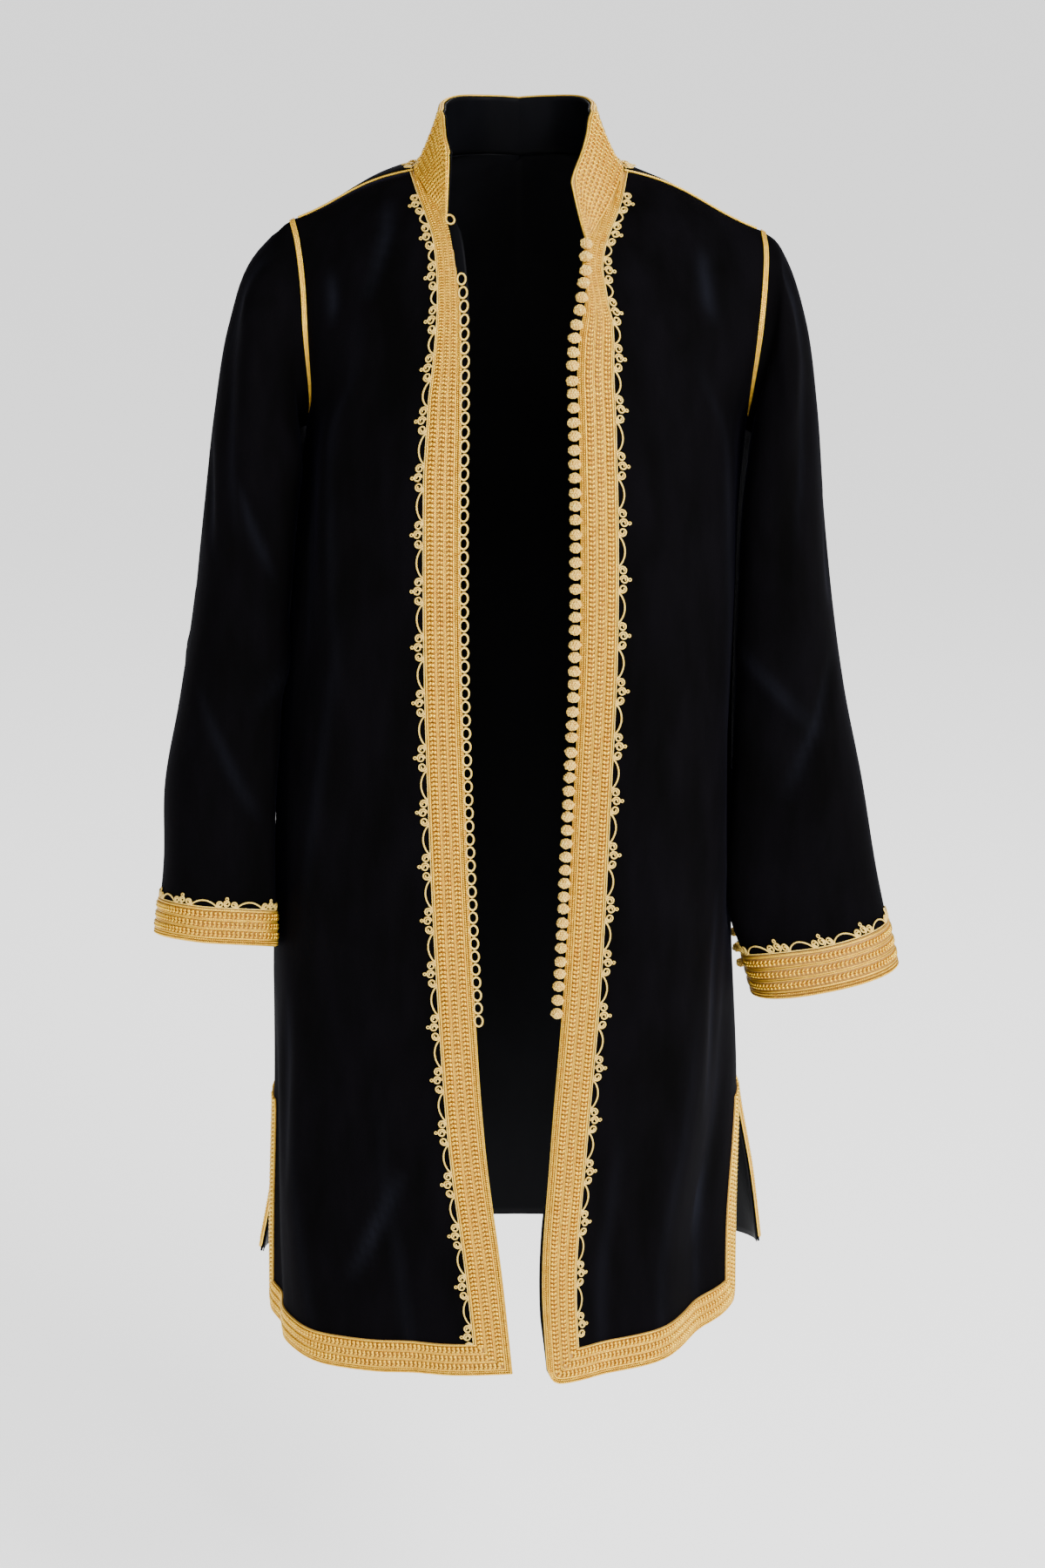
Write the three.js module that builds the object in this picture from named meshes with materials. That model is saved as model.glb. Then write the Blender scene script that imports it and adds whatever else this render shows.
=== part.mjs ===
// A long open-fronted velvet coat in its worn, hollow form, trimmed with gold braid.
// Millimetres, +Z up, the front faces -Y and the wearer's left is +X. The origin is midway between the
// two points where the shoulder seams meet the neck.
//
// The cloth is one outer skin, laid out as nets of points: two fronts, a back, two sleeves and a stand
// collar. Each net becomes a thin closed wall, and all that lies on or under the cloth (lining, braid,
// edging) is a wall made from the same points, moved out or in along the skin's normals.
import * as THREE from 'three';

// ---- Driving dimensions ---------------------------------------------------------------------------
const VELVET = 2;              // wall of the velvet
const LINING = 1;              // wall of the satin lining
const SEAM_GAP = 0.3;          // clear space between two pieces
const BRAID = 1.6;             // thickness of the gold braid
const BAND_WIDTH = 28;         // braid band along the fronts, hems, vents and cuffs
const BAND_AT_NECK = 13;       // the same band where it turns into the neckline
const BAND_AT_SHOULDER = 3;    // what is left of it below the collar at the shoulder
const CORD = 1.5;              // round cord of the loops, the edging and the seam lines
const ARMHOLE_BRAID = 5;       // narrow braid round the armholes
const SCALLOP_PITCH = 41.5;    // one rosette and one bow of the edging
const SCALLOP_REACH = [12, 3, 8, 3];   // how far it stands off the band: rosette, dip, bow, dip
const EDGING_CLEARANCE = 0.9;  // from the band, and from the cloth under it
const BUTTON_DIAMETER = 10.4;  // knotted ball buttons
const BUTTON_PITCH = 10.8;
const BUTTON_STEM = 2.4;       // thickness of the cord between two buttons
const BUTTON_COUNT = 56;
const CUFF_BUTTON_COUNT = 7;
const LOOP_REACH = 9;          // a button loop, out from the front edge
const LOOPS_START = 306;       // height of the lowest loop and button over the hem, along the front edge
const VENT_HEIGHT = 185;       // the side seams are open below this
const SLIT_LENGTH = 78;        // the sleeve seam is open this far above the cuff
const SLIT_OPENING = 14;       // how far it stands open at the cuff
const SLEEVE_LENGTH = 600;
const SLEEVE_ROUND = 370;      // about the distance round a sleeve
const SLEEVE_FULLNESS = 2.2;   // of its section: 2 is an ellipse, more is squarer
const FOLD_FADE = 30;          // folds die away this far from a seam

// ---- The cut, as worn -----------------------------------------------------------------------------
// Each row of a front runs from its front edge (higher up: from the neckline) round to the side seam
// (higher up: the armhole). "at" is the row's height along the cloth over the hem, points are [x, y, z]
// with x counted outwards from the middle, and "square" is how full the row is between its two ends,
// from 1, a straight line, through 2, a quarter of an ellipse, to 3, nearly a corner. "crown" is how far
// the middle of the row stands over its ends.
const NECK_ROW = 925;          // the neckline leaves the front edge here
const UNDERARM_ROW = 800;
const SHOULDER_ROW = 975;

const RIGHT_FRONT = [
  { at: 0, edge: [6, -160, -967], side: [213, -2, -968], square: 2.5, crown: 0 },
  { at: 90, edge: [15, -159, -877], side: [212, 6, -880], square: 2.6, crown: 0 },
  { at: 185, edge: [27, -155, -781], side: [209, 18, -784], square: 2.6, crown: 0 },
  { at: 330, edge: [37, -147, -636], side: [206, 14, -640], square: 2.5, crown: 0 },
  { at: 480, edge: [43, -141, -487], side: [200, 12, -492], square: 2.4, crown: 0 },
  { at: 610, edge: [46, -136, -357], side: [188, 12, -366], square: 2.3, crown: 0 },
  { at: 720, edge: [46, -126, -247], side: [179, 13, -270], square: 2.2, crown: 0 },
  { at: 800, edge: [45, -115, -168], side: [172, 14, -208], square: 2.0, crown: 0 },
  { at: 845, edge: [45, -103, -122], side: [166, -24, -176], square: 1.7, crown: 0 },
  { at: 885, edge: [47, -88, -78], side: [167, -36, -128], square: 1.5, crown: 0 },
  { at: 925, edge: [57, -65, -33], side: [169.5, -28, -80], square: 1.3, crown: 2 },
  { at: 950, edge: [71, -39, -13], side: [173.5, -15, -54], square: 1.15, crown: 3 },
  { at: 975, edge: [82.5, -8, 0], side: [178, -3, -39], square: 1, crown: 4 },
];
const LEFT_FRONT = [
  { at: 0, edge: [24, -170, -972], side: [185, -2, -968], square: 1.4, crown: 0 },
  { at: 90, edge: [20, -162, -880], side: [185, 6, -880], square: 1.45, crown: 0 },
  { at: 185, edge: [26, -155, -781], side: [186, 18, -781], square: 1.8, crown: 0 },
  { at: 330, edge: [37, -147, -636], side: [179, 14, -640], square: 2.4, crown: 0 },
  { at: 480, edge: [44, -141, -487], side: [177, 12, -492], square: 2.4, crown: 0 },
  { at: 610, edge: [49, -136, -357], side: [177, 12, -366], square: 2.3, crown: 0 },
  { at: 720, edge: [49, -126, -247], side: [179, 13, -270], square: 2.2, crown: 0 },
  { at: 800, edge: [47, -115, -168], side: [184, 14, -212], square: 2.0, crown: 0 },
  { at: 845, edge: [45, -103, -122], side: [185, -24, -176], square: 1.7, crown: 0 },
  { at: 885, edge: [46, -88, -84], side: [189, -36, -130], square: 1.5, crown: 0 },
  { at: 925, edge: [54, -65, -48], side: [193, -28, -84], square: 1.3, crown: 2 },
  { at: 950, edge: [71, -39, -22], side: [194, -15, -62], square: 1.15, crown: 3 },
  { at: 975, edge: [82.5, -8, 0], side: [192, -3, -48], square: 1, crown: 4 },
];

// The two halves of the back meet in its middle line, which has the place of the front edge here, as far
// up as the neck; above it the rows run from the back neckline to the armholes.
const BACK_NECK_ROW = 935;
const BACK_MIDDLE = [
  { at: 0, edge: [0, 175, -965] },
  { at: 90, edge: [0, 170, -876] },
  { at: 185, edge: [0, 163, -781] },
  { at: 330, edge: [0, 150, -636] },
  { at: 480, edge: [0, 130, -487] },
  { at: 610, edge: [0, 124, -357] },
  { at: 720, edge: [0, 126, -247] },
  { at: 800, edge: [0, 125, -167] },
  { at: 845, edge: [0, 119, -120] },
  { at: 885, edge: [0, 106, -70] },
  { at: 935, edge: [0, 71, 4] },
  { at: 945, edge: [31, 66, 6] },
  { at: 955, edge: [57, 47, 7] },
  { at: 965, edge: [75, 21, 4] },
  { at: 975, edge: [82.5, -8, 0] },
];
const BACK_RIGHT_SIDE = [
  { at: 0, side: [230, 93, -967], square: 2.3, crown: 0 },
  { at: 90, side: [221, 58, -880], square: 2.3, crown: 0 },
  { at: 185, side: [209, 18, -784], square: 2.3, crown: 0 },
  { at: 330, side: [206, 14, -640], square: 2.4, crown: 0 },
  { at: 480, side: [200, 12, -492], square: 2.4, crown: 0 },
  { at: 610, side: [188, 12, -366], square: 2.4, crown: 0 },
  { at: 720, side: [179, 13, -270], square: 2.4, crown: 0 },
  { at: 800, side: [172, 14, -208], square: 2.3, crown: 0 },
  { at: 845, side: [168, 52, -178], square: 1.9, crown: 0 },
  { at: 885, side: [168, 64, -136], square: 1.6, crown: 3 },
  { at: 935, side: [172, 50, -80], square: 1.3, crown: 7 },
  { at: 955, side: [176, 26, -52], square: 1.15, crown: 8 },
  { at: 975, side: [178, -3, -39], square: 1, crown: 4 },
];
const BACK_LEFT_SIDE = [
  { at: 0, side: [215, 115, -967], square: 2.1, crown: 0 },
  { at: 90, side: [203, 68, -880], square: 2.2, crown: 0 },
  { at: 185, side: [186, 18, -781], square: 2.3, crown: 0 },
  { at: 330, side: [179, 14, -640], square: 2.4, crown: 0 },
  { at: 480, side: [177, 12, -492], square: 2.4, crown: 0 },
  { at: 610, side: [177, 12, -366], square: 2.4, crown: 0 },
  { at: 720, side: [179, 13, -270], square: 2.4, crown: 0 },
  { at: 800, side: [184, 14, -212], square: 2.3, crown: 0 },
  { at: 845, side: [181, 52, -178], square: 1.9, crown: 0 },
  { at: 885, side: [184, 64, -138], square: 1.6, crown: 3 },
  { at: 935, side: [192, 50, -86], square: 1.3, crown: 7 },
  { at: 955, side: [194, 26, -60], square: 1.15, crown: 8 },
  { at: 975, side: [192, -3, -48], square: 1, crown: 4 },
];

// Rings of a sleeve, "along" it from the armhole: the outermost and the innermost point as [x, z], the
// y of the foremost and of the hindmost, how far the fore side is lifted, how far the seam has turned
// backwards from the inside of the arm, in degrees, and how closely the inside lies round the body.
const RIGHT_SLEEVE = [
  { along: 45, outer: [211, -72], inner: [178, -220], fore: -47, hind: 76, lift: 0, turn: 0, hug: 14 },
  { along: 100, outer: [232, -124], inner: [177, -243], fore: -58, hind: 86, lift: 0, turn: 0, hug: 24 },
  { along: 170, outer: [246, -194], inner: [183, -282], fore: -62, hind: 88, lift: 0, turn: 10, hug: 36 },
  { along: 250, outer: [256, -272], inner: [190, -332], fore: -62, hind: 84, lift: 2, turn: 22, hug: 46 },
  { along: 330, outer: [266, -352], inner: [198, -394], fore: -66, hind: 78, lift: 6, turn: 36, hug: 50 },
  { along: 410, outer: [279, -432], inner: [203, -460], fore: -74, hind: 68, lift: 10, turn: 50, hug: 48 },
  { along: 480, outer: [291, -502], inner: [206, -518], fore: -82, hind: 54, lift: 13, turn: 62, hug: 38 },
  { along: 545, outer: [299, -568], inner: [208.5, -577], fore: -88, hind: 40, lift: 15, turn: 72, hug: 28 },
  { along: 600, outer: [305, -626], inner: [208, -633], fore: -92, hind: 30, lift: 16, turn: 80, hug: 14 },
];
const LEFT_SLEEVE = [
  { along: 45, outer: [214, -74], inner: [190, -222], fore: -47, hind: 76, lift: 0, turn: 0, hug: 14 },
  { along: 100, outer: [228, -122], inner: [187, -240], fore: -58, hind: 88, lift: 0, turn: 0, hug: 24 },
  { along: 170, outer: [238, -188], inner: [184, -280], fore: -62, hind: 90, lift: 0, turn: 4, hug: 34 },
  { along: 250, outer: [245, -268], inner: [183, -336], fore: -62, hind: 86, lift: 0, turn: 8, hug: 40 },
  { along: 330, outer: [255, -350], inner: [182, -400], fore: -58, hind: 80, lift: 0, turn: 14, hug: 42 },
  { along: 410, outer: [268, -430], inner: [182, -470], fore: -54, hind: 73, lift: 1, turn: 20, hug: 40 },
  { along: 480, outer: [284, -505], inner: [183, -538], fore: -49, hind: 67, lift: 2, turn: 25, hug: 34 },
  { along: 545, outer: [304, -590], inner: [188, -618], fore: -43, hind: 62, lift: 3, turn: 28, hug: 14 },
  { along: 600, outer: [323, -668], inner: [199, -694], fore: -38, hind: 60, lift: 4, turn: 30, hug: 0 },
];

// From the armhole seam every thread of the sleeve first runs out and down by the same step.
const SLEEVE_HEAD = { along: 10, out: 8, down: 4.5 };

// The top edge of the stand collar over its seam: how far the edge leans in and stands up, at stations
// counted from the front end (0), past the shoulder (about 0.7), to the middle of the back (1).
const RIGHT_COLLAR = [
  { at: 0, lean: [2, 17, 50] },
  { at: 0.3, lean: [9, 9, 47] },
  { at: 0.5, lean: [16, 1, 46] },
  { at: 0.7, lean: [21, -7, 47] },
  { at: 1, lean: [0, -14, 46] },
];
const LEFT_COLLAR = [
  { at: 0, lean: [12, 10, 44] },
  { at: 0.3, lean: [17, 7, 45] },
  { at: 0.5, lean: [21, 0, 46] },
  { at: 0.7, lean: [24, -7, 47] },
  { at: 1, lean: [0, -14, 46] },
];

// Soft folds of the cloth. A fold runs from one end to the other; "across" is the share of the row from
// the front edge or back middle to the side, or of the way round a sleeve from its seam.
const RIGHT_FRONT_FOLDS = [
  { from: { at: 880, across: 0.62 }, to: { at: 440, across: 0.72 }, width: 24, rise: 6 },
  { from: { at: 860, across: 0.82 }, to: { at: 560, across: 0.55 }, width: 22, rise: -5 },
  { from: { at: 380, across: 0.66 }, to: { at: 60, across: 0.5 }, width: 30, rise: 5 },
  { from: { at: 250, across: 0.88 }, to: { at: 40, across: 0.8 }, width: 26, rise: -8 },
];
const LEFT_FRONT_FOLDS = [
  { from: { at: 870, across: 0.6 }, to: { at: 520, across: 0.7 }, width: 24, rise: 5 },
  { from: { at: 400, across: 0.74 }, to: { at: 90, across: 0.7 }, width: 26, rise: -6 },
  { from: { at: 330, across: 0.5 }, to: { at: 20, across: 0.42 }, width: 30, rise: 5 },
];
const BACK_RIGHT_FOLDS = [
  { from: { at: 520, across: 0.35 }, to: { at: 40, across: 0.45 }, width: 30, rise: 6 },
  { from: { at: 840, across: 0.8 }, to: { at: 600, across: 0.5 }, width: 24, rise: 5 },
];
const BACK_LEFT_FOLDS = [
  { from: { at: 480, across: 0.5 }, to: { at: 20, across: 0.4 }, width: 28, rise: 6 },
  { from: { at: 850, across: 0.78 }, to: { at: 640, across: 0.42 }, width: 24, rise: 5 },
];
const RIGHT_SLEEVE_FOLDS = [
  { from: { at: 60, across: 0.4 }, to: { at: 240, across: 0.34 }, width: 22, rise: -5 },
  { from: { at: 270, across: 0.12 }, to: { at: 400, across: 0.36 }, width: 18, rise: 5 },
  { from: { at: 300, across: 0.9 }, to: { at: 380, across: 0.62 }, width: 18, rise: 5 },
];
const LEFT_SLEEVE_FOLDS = [
  { from: { at: 70, across: 0.4 }, to: { at: 260, across: 0.3 }, width: 22, rise: -5 },
  { from: { at: 300, across: 0.16 }, to: { at: 430, across: 0.4 }, width: 18, rise: 5 },
  { from: { at: 320, across: 0.88 }, to: { at: 400, across: 0.6 }, width: 18, rise: 5 },
];

// Rows and rings of the nets
const LOW_ROWS = [0, BAND_WIDTH, 105, VENT_HEIGHT, 290, 395, 500, 605, 705, UNDERARM_ROW];
const FRONT_HIGH_ROWS = [825, 850, 877, 903, NECK_ROW, 942, 959, SHOULDER_ROW];
const BACK_HIGH_ROWS = [828, 856, 884, 911, BACK_NECK_ROW, 945, 955, 965, SHOULDER_ROW];
const COLUMNS = 10;            // of a front, and of each half of the back
const SLEEVE_RINGS = [0, 10, 40, 90, 140, 200, 265, 330, 395, 460, 522, SLEEVE_LENGTH - BAND_WIDTH, SLEEVE_LENGTH];
const COLLAR_STEPS = 2;

// ---- Curves and rows ------------------------------------------------------------------------------
const point = (x, y, z) => new THREE.Vector3(x, y, z);
const between = (a, b, share) => a.clone().lerp(b, share);

// One number of a table at any station: a smooth curve whose slope at each row is that of the parabola
// through the row and its two neighbours.
function curve(stations, values, at) {
  const last = stations.length - 1;
  const chord = (i) => (values[i + 1] - values[i]) / (stations[i + 1] - stations[i]);
  const slope = (i) => {
    if (i === 0) return chord(0);
    if (i === last) return chord(last - 1);
    const before = stations[i] - stations[i - 1];
    const after = stations[i + 1] - stations[i];
    return (chord(i) * before + chord(i - 1) * after) / (before + after);
  };
  let i = 0;
  while (i < last - 1 && at > stations[i + 1]) i += 1;
  const span = stations[i + 1] - stations[i];
  const t = (at - stations[i]) / span;
  const rest = 1 - t;
  return values[i] * (1 + 2 * t) * rest * rest + slope(i) * span * t * rest * rest
    + values[i + 1] * t * t * (3 - 2 * t) - slope(i + 1) * span * t * t * rest;
}

function read(table, station, name, at) {
  const stations = table.map((row) => row[station]);
  const column = (k) => curve(stations, table.map((row) => (k === undefined ? row[name] : row[name][k])), at);
  if (!Array.isArray(table[0][name])) return column();
  return table[0][name].map((_, k) => column(k));
}

// A row of a front or of half a back at a height: from the edge round to the side. Between the vent and
// the underarm both are sewn to one side seam, "seams". Up to "middleTo" the edge is the middle line itself.
function rowPoint({ edges, sides, seams, hand, middleTo = -1 }, at, share) {
  const edge = read(edges, 'at', 'edge', at);
  if (at <= middleTo) edge[0] = 0;
  const side = read(at >= VENT_HEIGHT && at <= UNDERARM_ROW ? seams : sides, 'at', 'side', at);
  const square = Math.max(1, read(sides, 'at', 'square', at));
  const angle = share * Math.PI / 2;
  const reach = (Math.sin(angle) ** square + Math.cos(angle) ** square) ** (1 / square);
  const out = Math.sin(angle) / reach;
  const fore = Math.cos(angle) / reach;
  return point(
    hand * (edge[0] + (side[0] - edge[0]) * out),
    side[1] + (edge[1] - side[1]) * fore,
    edge[2] + (side[2] - edge[2]) * share + read(sides, 'at', 'crown', at) * Math.sin(Math.PI * share),
  );
}

// The points of a row, measured along the cloth from its edge: the first column is "first" wide and the
// last one a band wide, and the others share the rest.
const ROW_STEPS = 60;          // steps in which a row's length is measured
function rowAt(shape, at, first) {
  const points = [];
  const lengths = [0];
  for (let i = 0; i <= ROW_STEPS; i += 1) {
    points.push(rowPoint(shape, at, i / ROW_STEPS));
    if (i > 0) lengths.push(lengths[i - 1] + points[i].distanceTo(points[i - 1]));
  }
  const length = lengths[ROW_STEPS];
  const start = first ?? (length - BAND_WIDTH) / (COLUMNS - 1);
  const step = (length - BAND_WIDTH - start) / (COLUMNS - 2);
  const distances = [0, ...Array.from({ length: COLUMNS - 1 }, (_, k) => start + k * step), length];
  return distances.map((distance) => {
    let i = 0;
    while (i < ROW_STEPS - 1 && lengths[i + 1] < distance) i += 1;
    const share = (distance - lengths[i]) / (lengths[i + 1] - lengths[i]);
    return { at: between(points[i], points[i + 1], share), distance, length };
  });
}

// ---- Nets of points -------------------------------------------------------------------------------
// A net has points, four-sided cells whose corners run anticlockwise seen from outside, and the patches
// that it was made from, each with its rows of point numbers and of cells.
function newNet() {
  return { points: [], cells: [], patches: [] };
}

function addPoint(net, at) {
  net.points.push(at);
  return net.points.length - 1;
}

function addPatch(net, rows, turned) {
  const cells = rows.slice(1).map((upper, r) => upper.slice(1).map((_, c) => {
    const cell = [rows[r][c], rows[r][c + 1], upper[c + 1], upper[c]];
    return turned ? cell.reverse() : cell;
  }));
  net.cells.push(...cells.flat());
  net.patches.push({ rows, cells });
}

// How far the folds lift the cloth at a place; "length" is the row's length, to measure across.
function foldRise(folds, at, across, length) {
  let rise = 0;
  for (const fold of folds) {
    const run = fold.to.at - fold.from.at;
    const t = (at - fold.from.at) / run;
    if (t <= 0 || t >= 1) continue;
    const middle = fold.from.across + (fold.to.across - fold.from.across) * t;
    const off = (across - middle) * length / fold.width;
    rise += fold.rise * Math.sin(Math.PI * t) * Math.exp(-off * off);
  }
  return rise;
}

// The faces' mean normal at each point of a net.
function ownNormals(net) {
  const normals = net.points.map(() => point(0, 0, 0));
  for (const [a, b, c, d] of net.cells) {
    const along = net.points[c].clone().sub(net.points[a]);
    const face = along.cross(net.points[d].clone().sub(net.points[b])).normalize();
    for (const corner of [a, b, c, d]) normals[corner].add(face);
  }
  return normals.map((normal) => normal.normalize());
}

function liftFolds(net, places) {
  const normals = ownNormals(net);
  places.forEach(({ folds, row, distance, length, hold }, id) => {
    net.points[id].addScaledVector(normals[id], hold * foldRise(folds, row, distance / length, length));
  });
}

// Fades a fold out over the last stretch before a seam.
const nearSeam = (distance) => Math.min(1, Math.max(0, distance) / FOLD_FADE);

// The band's width up a front: full as far as the breast, then narrowing beside the collar seam.
const BAND_NARROWS = 70;       // over this much of the front edge below the neck
function frontBandWidth(at) {
  if (at > NECK_ROW) {
    const up = (at - NECK_ROW) / (SHOULDER_ROW - NECK_ROW);
    return BAND_AT_NECK + (BAND_AT_SHOULDER - BAND_AT_NECK) * up;
  }
  const below = Math.min(1, (NECK_ROW - at) / BAND_NARROWS);
  return BAND_AT_NECK + (BAND_WIDTH - BAND_AT_NECK) * below;
}

// How freely the folds lift a place: not at all on a seam.
function foldHold(at, { distance, length }) {
  const toSide = at < VENT_HEIGHT ? 1 : nearSeam(length - distance);
  return toSide * nearSeam(SHOULDER_ROW - at);
}

function frontNet(table, hand, folds) {
  const net = newNet();
  const places = [];
  const shape = { edges: table, sides: table, seams: table, hand };
  const stations = [...LOW_ROWS, ...FRONT_HIGH_ROWS];
  const rows = stations.map((at) => rowAt(shape, at, frontBandWidth(at)).map((place) => {
    places.push({ ...place, folds, row: at, hold: foldHold(at, place) });
    return addPoint(net, place.at);
  }));
  addPatch(net, rows, hand < 0);
  liftFolds(net, places);
  net.stations = stations;
  return net;
}

function backNet() {
  const net = newNet();
  const places = [];
  const stations = [...LOW_ROWS, ...BACK_HIGH_ROWS];
  const both = { edges: BACK_MIDDLE, middleTo: BACK_NECK_ROW };
  const halves = [
    { ...both, hand: -1, sides: BACK_RIGHT_SIDE, seams: RIGHT_FRONT, folds: BACK_RIGHT_FOLDS },
    { ...both, hand: 1, sides: BACK_LEFT_SIDE, seams: LEFT_FRONT, folds: BACK_LEFT_FOLDS },
  ];
  const middle = new Map();
  for (const half of halves) {
    const rows = stations.map((at) => {
      const first = at === SHOULDER_ROW ? BAND_AT_SHOULDER : undefined;
      return rowAt(half, at, first).map((place, k) => {
        if (k === 0 && at <= BACK_NECK_ROW && middle.has(at)) return middle.get(at);
        places.push({ ...place, folds: half.folds, row: at, hold: foldHold(at, place) });
        const id = addPoint(net, place.at);
        if (k === 0) middle.set(at, id);
        return id;
      });
    });
    addPatch(net, rows, half.hand > 0);
  }
  liftFolds(net, places);
  net.stations = stations;
  return net;
}

// The armhole as one round of points, from the underarm up the front, over the shoulder and down the back.
function armhole(front, back, half) {
  const side = (net, patch) => {
    const from = net.stations.indexOf(UNDERARM_ROW);
    return net.patches[patch].rows.slice(from).map((row) => net.points[row[row.length - 1]].clone());
  };
  const fore = side(front, 0);
  const hind = side(back, half).reverse();
  return [...fore, ...hind.slice(1)];
}

function ringPoint(table, hand, along, share) {
  const outer = read(table, 'along', 'outer', along);
  const inner = read(table, 'along', 'inner', along);
  const fore = read(table, 'along', 'fore', along);
  const hind = read(table, 'along', 'hind', along);
  const lift = read(table, 'along', 'lift', along);
  const angle = share * 2 * Math.PI - THREE.MathUtils.degToRad(read(table, 'along', 'turn', along));
  const full = SLEEVE_FULLNESS;
  const reach = (Math.abs(Math.cos(angle)) ** full + Math.abs(Math.sin(angle)) ** full) ** (1 / full);
  const out = -Math.cos(angle) / reach;
  const ahead = Math.sin(angle) / reach;
  const hug = read(table, 'along', 'hug', along) * Math.max(0, Math.cos(angle)) * Math.sin(angle) ** 2;
  return point(
    hand * ((outer[0] + inner[0]) / 2 + (outer[0] - inner[0]) / 2 * out - hug),
    (fore + hind) / 2 + (fore - hind) / 2 * ahead,
    (outer[1] + inner[1]) / 2 + (outer[1] - inner[1]) / 2 * out + lift * ahead,
  );
}

// How far round the sleeve each side of the slit stands from the seam, as a share of the round.
function slitShare(along) {
  const open = Math.max(0, (along - (SLEEVE_LENGTH - SLIT_LENGTH)) / SLIT_LENGTH);
  return SLIT_OPENING * open / 2 / SLEEVE_ROUND;
}

function sleeveNet(front, back, half, table, hand, folds) {
  const net = newNet();
  const places = [];
  const mouth = armhole(front, back, half);
  const foreCells = FRONT_HIGH_ROWS.length;
  const hindCells = BACK_HIGH_ROWS.length;
  const share = (k) => (k <= foreCells ? k / foreCells / 2 : 0.5 + (k - foreCells) / hindCells / 2);
  const sections = [0, SLEEVE_HEAD.along, ...table.map((row) => row.along)];
  const rows = SLEEVE_RINGS.map((along) => {
    const gap = slitShare(along);
    const ring = [];
    for (let k = 0; k < mouth.length; k += 1) {
      const last = k === mouth.length - 1;
      if (last && gap === 0) {
        ring.push(ring[0]);
        continue;
      }
      const at = gap + share(k) * (1 - 2 * gap);
      const seam = mouth[last ? 0 : k];
      const head = seam.clone().add(point(hand * SLEEVE_HEAD.out, 0, -SLEEVE_HEAD.down));
      const stops = [seam, head, ...table.map((row) => ringPoint(table, hand, row.along, at))];
      const read3 = (axis) => curve(sections, stops.map((stop) => stop[axis]), along);
      const [length, distance] = [SLEEVE_ROUND, share(k) * SLEEVE_ROUND];
      places.push({ folds, row: along, distance, length, hold: nearSeam(along) });
      ring.push(addPoint(net, point(read3('x'), read3('y'), read3('z'))));
    }
    return ring;
  });
  rows.reverse();
  addPatch(net, rows, hand < 0);
  liftFolds(net, places);
  return net;
}

// The collar's seam is the whole neckline: up the right front, round the back and down the left front.
function collarNet(rightFront, leftFront, back) {
  const neckline = (net, patch, from) => {
    const start = net.stations.indexOf(from);
    return net.patches[patch].rows.slice(start).map((row) => net.points[row[0]].clone());
  };
  const rightFore = neckline(rightFront, 0, NECK_ROW);
  const leftFore = neckline(leftFront, 0, NECK_ROW).reverse();
  const rightHind = neckline(back, 0, BACK_NECK_ROW).reverse();
  const leftHind = neckline(back, 1, BACK_NECK_ROW);
  const seam = [...rightFore, ...rightHind.slice(1), ...leftHind.slice(1), ...leftFore.slice(1)];
  const half = (seam.length - 1) / 2;
  const net = newNet();
  const rows = [];
  for (let step = 0; step <= COLLAR_STEPS; step += 1) {
    const up = step / COLLAR_STEPS;
    rows.push(seam.map((foot, k) => {
      const hand = k <= half ? -1 : 1;
      const table = hand < 0 ? RIGHT_COLLAR : LEFT_COLLAR;
      const lean = read(table, 'at', 'lean', Math.cos(Math.PI / 2 * Math.abs(k - half) / half) ** 0.8);
      const curl = up ** 0.8;
      return addPoint(net, point(
        foot.x - hand * lean[0] * curl,
        foot.y + lean[1] * curl,
        foot.z + lean[2] * up,
      ));
    }));
  }
  addPatch(net, rows, true);
  return net;
}

// ---- From nets to solids --------------------------------------------------------------------------
const placeKey = (at) => [at.x, at.y, at.z].map((value) => Math.round(value * 100)).join();

// Turns each cell so that it is split along its shorter diagonal.
function splitShorter(net) {
  const span = (a, b) => net.points[a].distanceTo(net.points[b]);
  for (const cell of net.cells) {
    if (span(cell[1], cell[3]) < span(cell[0], cell[2])) cell.push(cell.shift());
  }
}

// At a seam the pieces that meet share one normal, midway between the garment's main parts there, so
// that their walls are mitred; "reach" is how much longer the mitre is than the wall is thick.
const LONGEST_MITRE = 1 / 0.6;
function mitre(parts) {
  const meetings = new Map();
  const nets = parts.flat();
  parts.forEach((part, number) => {
    for (const net of part) {
      splitShorter(net);
      const own = ownNormals(net);
      net.meetings = net.points.map((at, id) => {
        const key = placeKey(at);
        if (!meetings.has(key)) meetings.set(key, parts.map(() => point(0, 0, 0)));
        meetings.get(key)[number].add(own[id]);
        return meetings.get(key);
      });
    }
  });
  for (const net of nets) {
    const sides = net.meetings.map((met) => met.filter((sum) => sum.length() > 0).map((sum) => sum.clone().normalize()));
    net.normals = sides.map((met) => met.reduce((sum, own) => sum.add(own), point(0, 0, 0)).normalize());
    net.reach = sides.map((met, id) => Math.min(LONGEST_MITRE, 1 / met[0].dot(net.normals[id])));
  }
}

// The directed edges that only one cell has.
function rim(cells) {
  const edges = new Map();
  for (const cell of cells) {
    cell.forEach((a, k) => {
      const [b, behindB, behindA] = [1, 2, 3].map((step) => cell[(k + step) % 4]);
      edges.set(`${a},${b}`, [a, b, behindA, behindB]);
    });
  }
  return [...edges.values()].filter(([a, b]) => !edges.has(`${b},${a}`));
}

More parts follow.
